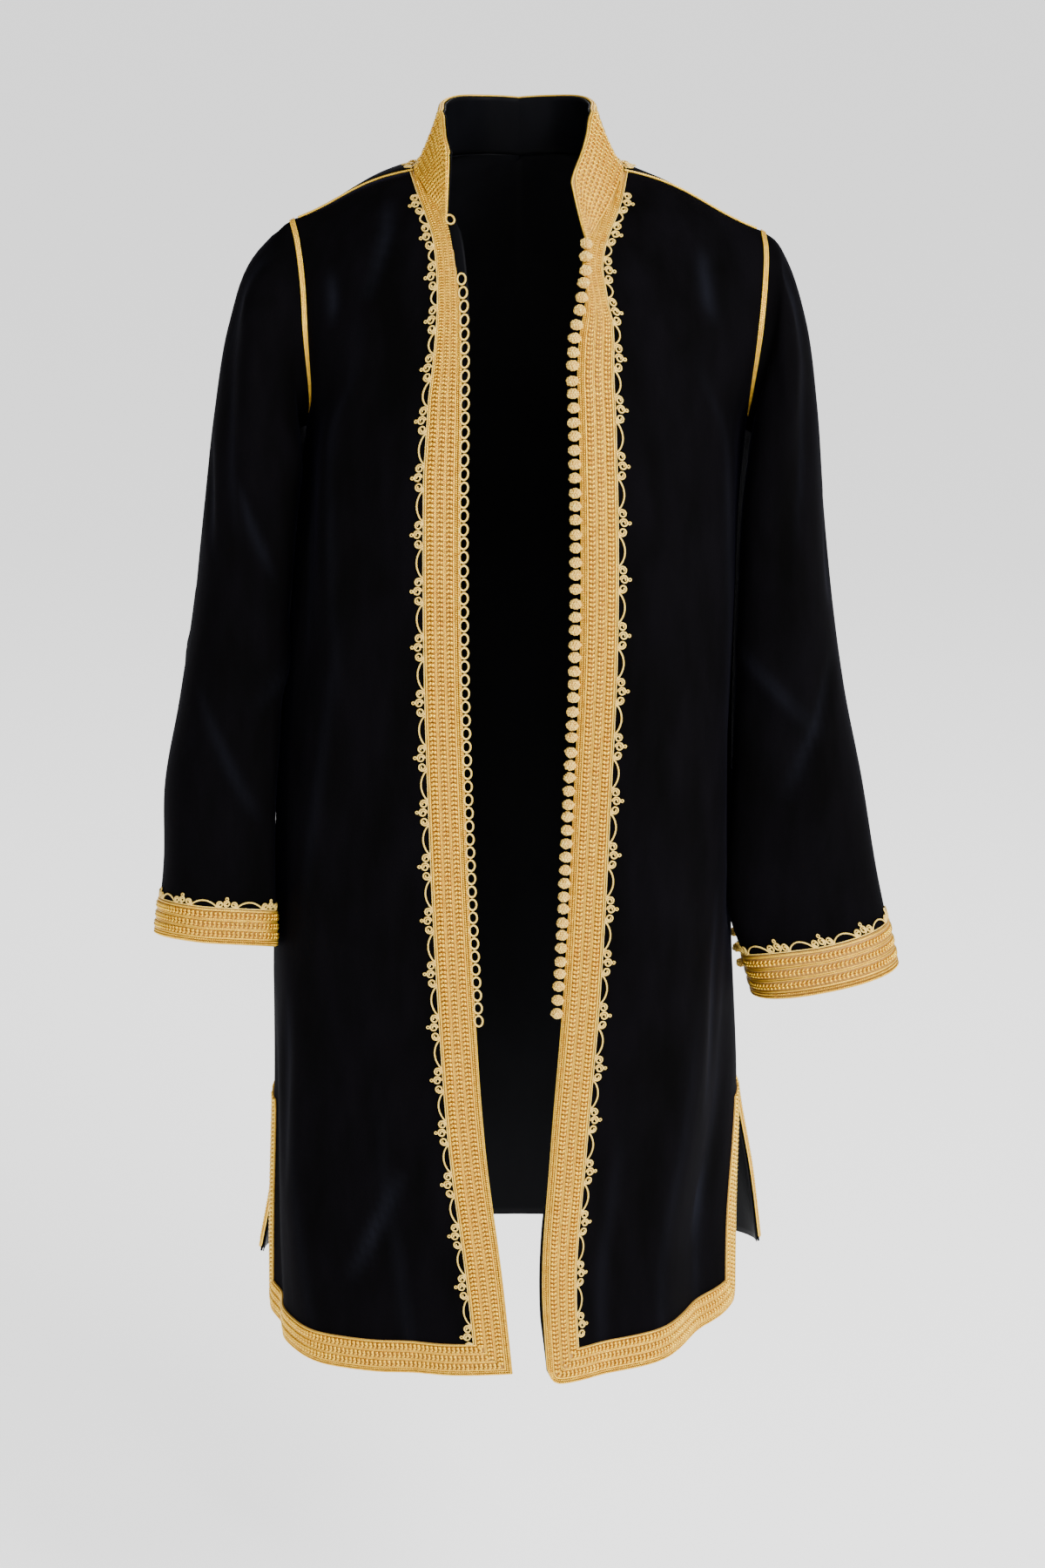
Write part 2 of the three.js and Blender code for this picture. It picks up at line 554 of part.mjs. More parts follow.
// Draws each free edge of some cells back into them, to leave the seam gap.
function drawnBack(net, cells, distance) {
  const points = new Map();
  for (const cell of cells) for (const id of cell) points.set(id, net.points[id].clone());
  const moves = new Map();
  for (const [a, b, behindA, behindB] of rim(cells)) {
    for (const [id, behind] of [[a, behindA], [b, behindB]]) {
      if (!moves.has(id)) moves.set(id, new Map());
      moves.get(id).set(behind, true);
    }
  }
  const inward = new Map();
  for (const [id, behinds] of moves) {
    for (const behind of behinds.keys()) {
      const move = net.points[behind].clone().sub(net.points[id]).setLength(distance);
      inward.set(id, (inward.get(id) ?? point(0, 0, 0)).add(move));
    }
  }
  for (const [id, move] of inward) points.get(id).add(move);
  return points;
}

// A closed wall on some cells of a net, from one height over the skin to another.
function wall(net, cells, low, high, drawBack = SEAM_GAP / 2) {
  const base = drawnBack(net, cells, drawBack);
  const order = new Map([...base.keys()].map((id, k) => [id, k]));
  const positions = [];
  for (const level of [high, low]) {
    for (const [id, at] of base) {
      const moved = at.clone().addScaledVector(net.normals[id], level * net.reach[id]);
      positions.push(moved.x, moved.y, moved.z);
    }
  }
  const under = base.size;
  const faces = [];
  for (const cell of cells) {
    const [a, b, c, d] = cell.map((id) => order.get(id));
    faces.push(a, b, c, a, c, d);
    faces.push(a + under, c + under, b + under, a + under, d + under, c + under);
  }
  for (const [from, to] of rim(cells)) {
    const [a, b] = [order.get(from), order.get(to)];
    faces.push(b, a, a + under, b, a + under, b + under);
  }
  const geometry = new THREE.BufferGeometry();
  geometry.setAttribute('position', new THREE.Float32BufferAttribute(positions, 3));
  geometry.setIndex(faces);
  geometry.computeVertexNormals();
  return geometry;
}

// ---- The cloth ------------------------------------------------------------------------------------
const rightFront = frontNet(RIGHT_FRONT, -1, RIGHT_FRONT_FOLDS);
const leftFront = frontNet(LEFT_FRONT, 1, LEFT_FRONT_FOLDS);
const back = backNet();
const rightSleeve = sleeveNet(rightFront, back, 0, RIGHT_SLEEVE, -1, RIGHT_SLEEVE_FOLDS);
const leftSleeve = sleeveNet(leftFront, back, 1, LEFT_SLEEVE, 1, LEFT_SLEEVE_FOLDS);
const collar = collarNet(rightFront, leftFront, back);
mitre([[rightFront, leftFront, back], [rightSleeve, leftSleeve], [collar]]);

const COLOURS = {
  velvet: { color: 0x0b0d18, roughness: 0.9, metalness: 0 },
  satin: { color: 0x1c2330, roughness: 0.5, metalness: 0 },
  braid: { color: 0xd3a95c, roughness: 0.45, metalness: 0.3 },
  cord: { color: 0xe6c98c, roughness: 0.5, metalness: 0.2 },
};
const coat = new THREE.Group();

function addPiece(name, finish, geometry) {
  const piece = new THREE.Mesh(geometry, new THREE.MeshStandardMaterial(COLOURS[finish]));
  piece.name = name;
  coat.add(piece);
}

// The cells of a net for which the test on row, column and their last numbers holds.
function chosen(net, test) {
  const picked = [];
  for (const { cells } of net.patches) {
    cells.forEach((row, r) => row.forEach((cell, c) => {
      if (test(r, c, cells.length - 1, row.length - 1)) picked.push(cell);
    }));
  }
  return picked;
}

const SHELL = [
  ['front_right', rightFront, SEAM_GAP / 2],
  ['front_left', leftFront, SEAM_GAP / 2],
  ['back', back, SEAM_GAP / 2],
  ['sleeve_right', rightSleeve, SEAM_GAP],
  ['sleeve_left', leftSleeve, SEAM_GAP],
  ['collar', collar, SEAM_GAP],
];
for (const [name, net, drawBack] of SHELL) addPiece(name, 'velvet', wall(net, net.cells, -VELVET, 0, drawBack));

// The satin inside the back and the collar, and the facings behind the front edges
const inside = -VELVET - SEAM_GAP;
const facing = (r, c) => c < 2;
addPiece('lining_back', 'satin', wall(back, back.cells, inside - LINING, inside));
addPiece('lining_collar', 'satin', wall(collar, collar.cells, inside - LINING, inside));
addPiece('facing_right', 'satin', wall(rightFront, chosen(rightFront, facing), inside - LINING, inside));
addPiece('facing_left', 'satin', wall(leftFront, chosen(leftFront, facing), inside - LINING, inside));

// ---- Braid bands ----------------------------------------------------------------------------------
const ventCell = LOW_ROWS.indexOf(VENT_HEIGHT) - 1;
const onFront = (r, c, topRow, lastColumn) => c === 0 || r === 0 || (c === lastColumn && r <= ventCell);
const onBack = (r, c, topRow, lastColumn) => r === 0 || (c === lastColumn && r <= ventCell);
const onCuff = (r) => r === 0;
const BANDS = [
  ['band_front_right', rightFront, onFront],
  ['band_front_left', leftFront, onFront],
  ['band_back', back, onBack],
  ['band_collar', collar, () => true],
  ['band_cuff_right', rightSleeve, onCuff],
  ['band_cuff_left', leftSleeve, onCuff],
];
for (const [name, net, test] of BANDS) {
  addPiece(name, 'braid', wall(net, chosen(net, test), SEAM_GAP, SEAM_GAP + BRAID));
}

// ---- Strips laid along a net ----------------------------------------------------------------------
// A rail is a line of points over the cloth, away from the edge that a strip follows, with the normals
// there and the distance at which the strip begins on it.
function walk(rail, distance) {
  let rest = rail.start + distance;
  let i = 0;
  const step = () => rail.points[i + 1].distanceTo(rail.points[i]);
  while (i < rail.points.length - 2 && rest > step()) {
    rest -= step();
    i += 1;
  }
  const share = rest / step();
  return {
    at: between(rail.points[i], rail.points[i + 1], share),
    normal: between(rail.normals[i], rail.normals[i + 1], share).normalize(),
  };
}

function onRails(rails, place, distance) {
  const i = Math.min(rails.length - 2, Math.floor(place));
  const a = walk(rails[i], distance);
  const b = walk(rails[i + 1], distance);
  return {
    at: between(a.at, b.at, place - i),
    normal: between(a.normal, b.normal, place - i).normalize(),
  };
}

// Evenly spaced places along the rails' beginnings: "count" gaps over the whole length.
function evenPlaces(rails, count) {
  const starts = rails.map((rail) => walk(rail, 0).at);
  const lengths = [0];
  for (let i = 1; i < starts.length; i += 1) lengths.push(lengths[i - 1] + starts[i].distanceTo(starts[i - 1]));
  const total = lengths[lengths.length - 1];
  const steps = count(total);
  return Array.from({ length: steps + 1 }, (_, k) => {
    const distance = total * k / steps;
    let i = 0;
    while (i < lengths.length - 2 && lengths[i + 1] < distance) i += 1;
    return i + (distance - lengths[i]) / (lengths[i + 1] - lengths[i]);
  });
}

function railOf(net, ids, start) {
  return { points: ids.map((id) => net.points[id]), normals: ids.map((id) => net.normals[id]), start };
}

// A strip with one edge along the rails' beginnings and the other at the distances of a repeating list.
function strip(rails, places, reaches, turned) {
  const net = newNet();
  net.normals = [];
  const rows = [0, 1].map((side) => places.map((place, k) => {
    const distance = side === 0 ? 0 : reaches[k % reaches.length];
    const { at, normal } = onRails(rails, place, distance);
    net.normals.push(normal);
    return addPoint(net, at);
  }));
  addPatch(net, rows, turned);
  net.reach = net.points.map(() => 1);
  return net;
}

const quarters = (total) => Math.round(total / SCALLOP_PITCH) * SCALLOP_REACH.length;
function addEdging(name, rails, turned, places = evenPlaces(rails, quarters)) {
  const net = strip(rails, places, SCALLOP_REACH, turned);
  addPiece(name, 'cord', wall(net, net.cells, EDGING_CLEARANCE, EDGING_CLEARANCE + CORD));
}

// Along a front: outside the band, then outside the collar seam as far as the shoulder
function frontRails(net) {
  return net.patches[0].rows.slice(1).map((row) => {
    const band = net.points[row[0]].distanceTo(net.points[row[1]]);
    return railOf(net, row, band + EDGING_CLEARANCE);
  });
}
addEdging('edging_front_right', frontRails(rightFront), false);
addEdging('edging_front_left', frontRails(leftFront), true);

// Round the back of the neck, from the right shoulder to the left one, on straight rails square to the neck
const NECK_EDGING_RISE = 3;    // of each rail's far end over the cloth
function backNeckRails() {
  const fromNeck = (patch) => back.patches[patch].rows.slice(back.stations.indexOf(BACK_NECK_ROW)).map((row) => row[0]);
  const ids = [...fromNeck(0).reverse(), ...fromNeck(1).slice(1)];
  const own = ownNormals(back);
  return ids.map((id, k) => {
    const next = back.points[ids[Math.min(k + 1, ids.length - 1)]];
    const along = next.clone().sub(back.points[ids[Math.max(k - 1, 0)]]).normalize();
    const normal = own[id];
    const out = normal.clone().cross(along).normalize();
    const end = back.points[id].clone().addScaledVector(out, BAND_WIDTH).addScaledVector(normal, NECK_EDGING_RISE);
    return { points: [back.points[id], end], normals: [normal, normal], start: BAND_AT_SHOULDER + EDGING_CLEARANCE };
  });
}
addEdging('edging_neck', backNeckRails(), false);

// Round the cuffs, above the band
function cuffRails(net) {
  const rows = net.patches[0].rows;
  return rows[0].map((_, k) => railOf(net, rows.slice(1, 4).map((row) => row[k]), EDGING_CLEARANCE));
}
const halfColumns = (rails) => Array.from({ length: rails.length * 2 - 1 }, (_, k) => k / 2);
addEdging('edging_cuff_right', cuffRails(rightSleeve), true, halfColumns(cuffRails(rightSleeve)));
addEdging('edging_cuff_left', cuffRails(leftSleeve), false, halfColumns(cuffRails(leftSleeve)));

// ---- Narrow braid and cord on the seams -----------------------------------------------------------
// Round each armhole, on the sleeve beside its seam; it ends short of the underarm on both sides.
function armholeRails(net) {
  const rows = net.patches[0].rows.slice().reverse();
  return rows[0].map((_, k) => railOf(net, rows.slice(0, 3).map((row) => row[k]), 0)).slice(1, -1);
}
const ARMHOLE_BRAID_TAPER = 0.4;   // its width at both ends, as a share
function addArmholeBraid(name, net, turned) {
  const rails = armholeRails(net);
  const places = rails.map((_, k) => Math.min(k, rails.length - 1 - 1e-6));
  const atEnd = (k) => k === 0 || k === rails.length - 1;
  const tapered = places.map((_, k) => ARMHOLE_BRAID * (atEnd(k) ? ARMHOLE_BRAID_TAPER : 1));
  const braid = strip(rails, places, tapered, turned);
  addPiece(name, 'cord', wall(braid, braid.cells, EDGING_CLEARANCE, EDGING_CLEARANCE + CORD, SEAM_GAP));
}
addArmholeBraid('braid_armhole_right', rightSleeve, false);
addArmholeBraid('braid_armhole_left', leftSleeve, true);

// A closed bar through rings of points, all with the same number of corners.
function bar(rings) {
  const sides = rings[0].length;
  const positions = rings.flat().flatMap((at) => [at.x, at.y, at.z]);
  const faces = [];
  for (let r = 0; r + 1 < rings.length; r += 1) {
    for (let k = 0; k < sides; k += 1) {
      const [a, b] = [r * sides + k, r * sides + (k + 1) % sides];
      faces.push(b, a, a + sides, b, a + sides, b + sides);
    }
  }
  const end = (rings.length - 1) * sides;
  for (let k = 1; k + 1 < sides; k += 1) faces.push(0, k, k + 1, end, end + k + 1, end + k);
  const geometry = new THREE.BufferGeometry();
  geometry.setAttribute('position', new THREE.Float32BufferAttribute(positions, 3));
  geometry.setIndex(faces);
  geometry.computeVertexNormals();
  return geometry;
}

// A ring of "sides" corners round a point, square to "along".
function roundRing(at, along, up, radius, sides) {
  const across = along.clone().cross(up).normalize();
  const rise = across.clone().cross(along).normalize();
  return Array.from({ length: sides }, (_, k) => {
    const angle = 2 * Math.PI * k / sides;
    return at.clone().addScaledVector(across, radius * Math.cos(angle)).addScaledVector(rise, radius * Math.sin(angle));
  });
}

// Along each shoulder seam, from beside the edging to the armhole
function addSeamCord(name, net) {
  const { rows } = net.patches[0];
  const top = rows[rows.length - 1].slice(3);
  const raise = SEAM_GAP + CORD / 2;
  const sides = 5;
  const path = top.map((id) => net.points[id].clone().addScaledVector(net.normals[id], raise));
  const first = between(path[0], path[1], 0.05);
  const last = between(path[path.length - 1], path[path.length - 2], 0.25);
  const route = [first, ...path.slice(1, -1), last];
  addPiece(name, 'cord', bar(route.map((at, k) => {
    const along = route[Math.min(k + 1, route.length - 1)].clone().sub(route[Math.max(k - 1, 0)]).normalize();
    return roundRing(at, along, net.normals[top[k]], CORD / 2, sides);
  })));
}
addSeamCord('cord_shoulder_right', rightFront);
addSeamCord('cord_shoulder_left', leftFront);

// ---- Buttons and loops ----------------------------------------------------------------------------
// A place on a free edge of the cloth: "start" is the edge point, "out" leads away from the cloth in its
// own surface, and "normal" stands off it.
function edgePlace(edge, distance) {
  let rest = distance;
  let i = 0;
  const step = () => edge[i + 1].at.distanceTo(edge[i].at);
  while (i < edge.length - 2 && rest > step()) {
    rest -= step();
    i += 1;
  }
  const share = rest / step();
  const mix = (name) => between(edge[i][name], edge[i + 1][name], share);
  return { at: mix('at'), out: mix('out').normalize(), normal: mix('normal').normalize() };
}

function freeEdge(net, ids, behind) {
  return ids.map((id, k) => ({
    at: net.points[id],
    out: net.points[id].clone().sub(net.points[behind[k]]).normalize(),
    normal: net.normals[id],
  }));
}

// Ball buttons side by side on one cord, so that a row of them is one body: "off" is how far they stand
// out from the edge, and "raise" how far off the cloth.
function buttonRow(edge, start, count, off, raise) {
  const rings = [];
  const sides = 6;
  const neck = BUTTON_PITCH / 2;
  const shoulder = BUTTON_DIAMETER * 0.24;
  const profile = [[-neck, BUTTON_STEM / 2], [-shoulder, BUTTON_DIAMETER / 2], [shoulder, BUTTON_DIAMETER / 2]];
  for (let k = 0; k < count; k += 1) {
    const steps = k === count - 1 ? [...profile, [neck, BUTTON_STEM / 2]] : profile;
    for (const [along, radius] of steps) {
      const distance = start + k * BUTTON_PITCH + along;
      const { at, out, normal } = edgePlace(edge, distance);
      const ahead = edgePlace(edge, distance + 2).at.clone().sub(edgePlace(edge, distance - 2).at).normalize();
      const centre = at.clone().addScaledVector(out, off).addScaledVector(normal, raise);
      rings.push(roundRing(centre, ahead, normal, radius, sides));
    }
  }
  return bar(rings);
}

// Button loops: one cord that runs out from the edge and back, once for each button.
function loopRow(edge, start, count) {
  const turns = [[-0.3, 0], [-0.3, 1], [0.3, 1], [0.3, 0]];
  const near = CORD / 2 + SEAM_GAP * 2;
  const far = LOOP_REACH - CORD / 2;
  const route = [];
  for (let k = 0; k < count; k += 1) {
    for (const [along, share] of turns) {
      const { at, out, normal } = edgePlace(edge, start + (k + along) * BUTTON_PITCH);
      const place = at.clone().addScaledVector(out, near + (far - near) * share);
      route.push({ at: place.addScaledVector(normal, -CORD / 2), normal });
    }
  }
  const rings = route.map(({ at, normal }, k) => {
    const before = at.clone().sub(route[Math.max(k - 1, 0)].at).normalize();
    const after = route[Math.min(k + 1, route.length - 1)].at.clone().sub(at).normalize();
    const along = before.clone().add(after).normalize();
    const across = normal.clone().cross(along).normalize();
    const bend = Math.max(0.6, k === 0 || k === route.length - 1 ? 1 : before.dot(along));
    const half = CORD / 2;
    return [[1, -1], [1, 1], [-1, 1], [-1, -1]].map(([side, level]) => at.clone()
      .addScaledVector(across, side * half / bend).addScaledVector(normal, level * half));
  });
  return bar(rings.map((ring) => ring.reverse()));
}

function frontEdge(net) {
  const { rows } = net.patches[0];
  return freeEdge(net, rows.map((row) => row[0]), rows.map((row) => row[1]));
}
const beside = BUTTON_DIAMETER / 2 + 1;
addPiece('button_row', 'cord', buttonRow(frontEdge(leftFront), LOOPS_START, BUTTON_COUNT, beside, 0));
addPiece('loop_row', 'cord', loopRow(frontEdge(rightFront), LOOPS_START, BUTTON_COUNT));

// On the fore side of each sleeve slit, standing on the velvet
function addCuffButtons(name, net) {
  const rows = net.patches[0].rows.slice(0, 4);
  const edge = freeEdge(net, rows.map((row) => row[0]), rows.map((row) => row[1]));
  const raise = SEAM_GAP * 2 + BRAID + BUTTON_DIAMETER / 2;
  addPiece(name, 'cord', buttonRow(edge, BUTTON_PITCH * 0.6, CUFF_BUTTON_COUNT, -CORD, raise));
}
addCuffButtons('button_row_cuff_right', rightSleeve);
addCuffButtons('button_row_cuff_left', leftSleeve);

export default coat;
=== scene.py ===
import math
import bmesh
import bpy
import numpy as np
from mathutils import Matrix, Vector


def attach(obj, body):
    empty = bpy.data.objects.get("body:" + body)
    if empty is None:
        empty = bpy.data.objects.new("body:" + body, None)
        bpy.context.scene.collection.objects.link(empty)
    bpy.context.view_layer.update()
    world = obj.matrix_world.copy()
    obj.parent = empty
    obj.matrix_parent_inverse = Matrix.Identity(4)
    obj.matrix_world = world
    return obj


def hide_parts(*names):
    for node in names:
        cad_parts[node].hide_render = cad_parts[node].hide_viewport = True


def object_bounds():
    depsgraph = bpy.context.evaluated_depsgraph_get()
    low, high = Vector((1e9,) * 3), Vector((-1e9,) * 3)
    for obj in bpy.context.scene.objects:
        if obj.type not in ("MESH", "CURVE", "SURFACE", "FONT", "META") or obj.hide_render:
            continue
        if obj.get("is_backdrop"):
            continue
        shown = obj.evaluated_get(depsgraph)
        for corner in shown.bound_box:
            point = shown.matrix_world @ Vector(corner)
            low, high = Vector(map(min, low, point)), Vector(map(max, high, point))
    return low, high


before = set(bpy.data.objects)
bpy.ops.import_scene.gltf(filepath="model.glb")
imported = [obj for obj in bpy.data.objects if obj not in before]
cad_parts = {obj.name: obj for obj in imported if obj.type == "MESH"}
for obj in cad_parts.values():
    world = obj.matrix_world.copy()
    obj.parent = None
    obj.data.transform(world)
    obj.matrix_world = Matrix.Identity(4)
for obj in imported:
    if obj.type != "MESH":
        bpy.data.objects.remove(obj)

packed_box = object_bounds()
MM = 0.001

# ---- Camera, floor and studio light --------------------------------
# The coat keeps its worn shape above a plain pale floor. Large soft panels light it from the front, from both
# sides and a little from behind, so that the pile shows its sheen along the folds; along the creases a
# painted sheen lightens the velvet's colour as well.
scene = bpy.context.scene
lens = bpy.data.cameras.new("camera")
lens.sensor_fit = "VERTICAL"
lens.sensor_width = lens.sensor_height = 36
lens.lens = 86.48
camera = bpy.data.objects.new("camera", lens)
camera.location = (0.003, -3.0, 0.374)
camera.rotation_euler = (math.radians(90 - 16.38), 0, 0)
scene.collection.objects.link(camera)
scene.camera = camera


def new_object(name, mesh):
    made = bpy.data.objects.new(name, mesh)
    scene.collection.objects.link(made)
    return made


def fill(tree, socket, value):
    """Gives an input its plain value, or links it to another node's output."""
    if isinstance(value, bpy.types.NodeSocket):
        tree.links.new(value, socket)
    else:
        socket.default_value = value


def feed(tree, node, **inputs):
    for name, value in inputs.items():
        fill(tree, node.inputs[name.replace("_", " ")], value)
    return node


def add_node(tree, kind, settings=(), **inputs):
    node = tree.nodes.new(kind)
    for name, value in settings:
        setattr(node, name, value)
    return feed(tree, node, **inputs)


def new_material(name, **values):
    """A material with these values on its shader; gives its tree and its shader too."""
    material = bpy.data.materials.new(name)
    material.use_nodes = True
    tree = material.node_tree
    return material, tree, feed(tree, tree.nodes["Principled BSDF"], **values)


def mix_colours(tree, factor, first, second):
    mix = add_node(tree, "ShaderNodeMix", [("data_type", "RGBA")], Factor=factor, A=first, B=second)
    return mix.outputs["Result"]


floor_finish, tree, shader = new_material(
    "pale floor", Roughness=0.9, Emission_Color=(1, 1, 1, 1), Emission_Strength=1.2)
grain = add_node(tree, "ShaderNodeTexNoise", Scale=3)
feed(tree, shader,
     Base_Color=mix_colours(tree, grain.outputs["Fac"], (0.93, 0.93, 0.93, 1), (0.96, 0.96, 0.96, 1)))
FLOOR = -1.42   # its height, well under the hem
floor_mesh = bpy.data.meshes.new("floor")
floor_mesh.from_pydata(
    [(-40, -12, FLOOR), (40, -12, FLOOR), (40, 60, FLOOR), (-40, 60, FLOOR)], [], [(0, 1, 2, 3)])
floor_mesh.materials.append(floor_finish)
new_object("floor", floor_mesh)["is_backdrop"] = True

world = bpy.data.worlds.new("studio")
world.use_nodes = True
feed(world.node_tree, world.node_tree.nodes["Background"], Color=(1, 1, 1, 1), Strength=0.38)
scene.world = world
PANELS = [  # name, place, turned to (x, y, z), width, height, watts
    ("panel_front", (2.1, -3.0, 1.9), (0, 0, -0.45), 1.4, 1.2, 285),
    ("panel_right", (2.7, -0.9, 1.2), (0, 0, -0.2), 0.9, 1.4, 36),
    ("panel_left", (-2.7, -1.2, 1.0), (0, 0, -0.2), 0.9, 1.4, 24),
    ("panel_back", (0.4, 2.8, 1.6), (0, 0, -0.4), 2.0, 1.4, 50),
]
for name, place, aim, width, height, watts in PANELS:
    lamp = bpy.data.lights.new(name, "AREA")
    lamp.shape = "RECTANGLE"
    lamp.size, lamp.size_y, lamp.energy = width, height, watts
    panel = bpy.data.objects.new(name, lamp)
    panel.location = place
    away = np.array(place) - np.array(aim)
    panel.rotation_euler = (
        math.atan2(math.hypot(away[0], away[1]), away[2]), 0, math.atan2(away[0], -away[1]))
    scene.collection.objects.link(panel)

# ---- The two fronts: velvet ----------------------------------------
# Near-black navy silk velvet with a short pile, one piece from the shoulder to the hem on each side. The
# fronts hang open, and soft folds fall from the shoulders and stand out over the hem and the side vents.
NECK_ROW, UNDERARM_ROW, SHOULDER_ROW, VENT_HEIGHT = 925, 800, 975, 185   # heights over the hem
BAND, VELVET = 28, 1.8   # the braid's breadth and the velvet's thickness
# How closely a row is first drawn, and how closely the cloth's net is drawn
FINE_COLUMNS, ROW_STEP, FRONT_COLUMNS, BACK_COLUMNS = 121, 7.5, 61, 49
SEAM_DEPTH, SEAM_WIDTH, SOFT_EDGE = 1.2, 3.5, 30   # a fold fades to nothing over the soft edge by a seam
# The width of the painted sheen along a fold, where the pile would lie over, and the widest fold that gets
# its painted sheen in full
CREASE_WIDTH, NARROW_FOLD = 6.5, 7
LEFT_CORNER, LEFT_CORNER_HEIGHT = 12, 70
# Height over the hem along the cloth; the point on the front edge or neckline and the point on the side
# seam or armhole, in mm with x counted outwards; how square the row runs; how much its middle rises
RIGHT_FRONT = [
    (0, 6, -160, -967, 213, -2, -968, 2.5, -5),
    (90, 15, -159, -877, 212, 6, -880, 2.6, -2),
    (185, 27, -155, -781, 209, 18, -784, 2.6, 0),
    (330, 37, -147, -636, 206, 14, -640, 2.5, 0),
    (480, 43, -141, -487, 200, 12, -492, 2.4, 0),
    (610, 46, -136, -357, 188, 12, -366, 2.3, 0),
    (720, 46, -126, -247, 179, 13, -270, 2.2, 0),
    (800, 45, -115, -168, 172, 14, -208, 2.0, 0),
    (845, 45, -103, -122, 166, -24, -176, 1.7, 0),
    (885, 47, -88, -78, 167, -36, -128, 1.5, 0),
    (925, 57, -65, -33, 169.5, -28, -80, 1.3, 2),
    (950, 71, -39, -13, 173.5, -15, -54, 1.15, 3),
    (975, 82.5, -8, 0, 178, -3, -39, 1, 4),
]
LEFT_FRONT = [
    (0, 24, -170, -972, 185, -2, -968, 1.4, -5),
    (90, 20, -162, -880, 185, 6, -880, 1.45, -2),
    (185, 26, -155, -781, 186, 18, -781, 1.8, 0),
    (330, 37, -147, -636, 179, 14, -640, 2.4, 0),
    (480, 44, -141, -487, 177, 12, -492, 2.4, 0),
    (610, 49, -136, -357, 177, 12, -366, 2.3, 0),
    (720, 49, -126, -247, 179, 13, -270, 2.2, 0),
    (800, 47, -115, -168, 184, 14, -212, 2.0, 0),
    (845, 45, -103, -122, 185, -24, -176, 1.7, 0),
    (885, 46, -88, -84, 189, -36, -130, 1.5, 0),
    (925, 54, -65, -48, 193, -28, -84, 1.3, 2),
    (950, 71, -39, -22, 194, -15, -62, 1.15, 3),
    (975, 82.5, -8, 0, 192, -3, -48, 1, 4),
]
# Folds and creases, in order: where they start and end, at a height and a share of the way across, how
# wide they are and how far they rise from the cloth or sink into it
RIGHT_FRONT_FOLDS = [
    (895, 0.6, 560, 0.42, 24, 6),
    (640, 0.42, 340, 0.57, 22, 5),
    (860, 0.82, 560, 0.6, 22, -4),
    (380, 0.66, -120, 0.52, 28, 7),
    (300, 0.86, -200, 0.8, 22, -8),
    (260, 0.3, -150, 0.26, 24, -5),
    (952, 0.28, 890, 0.55, 8, -2),
    (920, 0.8, 885, 0.77, 8, -2),
    (305, 0.63, 130, 0.66, 12, -4),
    (178, 0.23, 72, 0.44, 8, -2),
]
LEFT_FRONT_FOLDS = [
    (870, 0.6, 520, 0.7, 24, 5),
    (640, 0.87, 300, 0.87, 22, -7),
    (400, 0.74, -160, 0.7, 24, -7),
    (330, 0.5, -180, 0.42, 28, 7),
    (240, 0.24, -160, 0.2, 22, -4),
    (935, 0.62, 885, 0.7, 8, -2),
    (400, 0.62, 180, 0.63, 12, -4),
    (145, 0.7, 75, 0.7, 8, -2),
]


def curve(stations, values, at):
    """A smooth curve through a table's rows, which takes its slope at a row from the two rows beside it."""
    stations, values, at = np.asarray(stations, float), np.asarray(values, float), np.asarray(at, float)
    span = np.diff(stations)[:, None]
    chord = np.diff(values, axis=0) / span
    slope = np.concatenate([
        chord[:1],
        (chord[1:] * span[:-1] + chord[:-1] * span[1:]) / (span[:-1] + span[1:]),
        chord[-1:],
    ])
    i = np.clip(np.searchsorted(stations, at) - 1, 0, len(stations) - 2)
    gap = span[i]
    t = (at - stations[i])[..., None] / gap
    s = 1 - t
    return (values[i] * (1 + 2 * t) * s * s + slope[i] * gap * t * s * s
            + values[i + 1] * t * t * (3 - 2 * t) - slope[i + 1] * gap * t * t * s)


def read_table(table, at, first=1, last=None):
    """Columns of a table as smooth curves over its first column."""
    table = np.array(table, float)
    return curve(table[:, 0], table[:, first:last], at)


def unit(vectors):
    return vectors / np.linalg.norm(vectors, axis=-1, keepdims=True)


def body_rows(edge, side, square, crown, hand):
    """Rows of points round the body, from the front edge or the middle of the back to the side."""
    share = np.linspace(0, 1, FINE_COLUMNS)[None, :]
    angle = share * math.pi / 2
    full = np.maximum(1, square)[:, None]
    reach = (np.sin(angle) ** full + np.cos(angle) ** full) ** (1 / full)
    out, fore = np.sin(angle) / reach, np.cos(angle) / reach
    return np.stack([
        hand * (edge[:, :1] + (side[:, :1] - edge[:, :1]) * out),
        side[:, 1:2] + (edge[:, 1:2] - side[:, 1:2]) * fore,
        edge[:, 2:] + (side[:, 2:] - edge[:, 2:]) * share + crown[:, None] * np.sin(math.pi * share),
    ], axis=2)


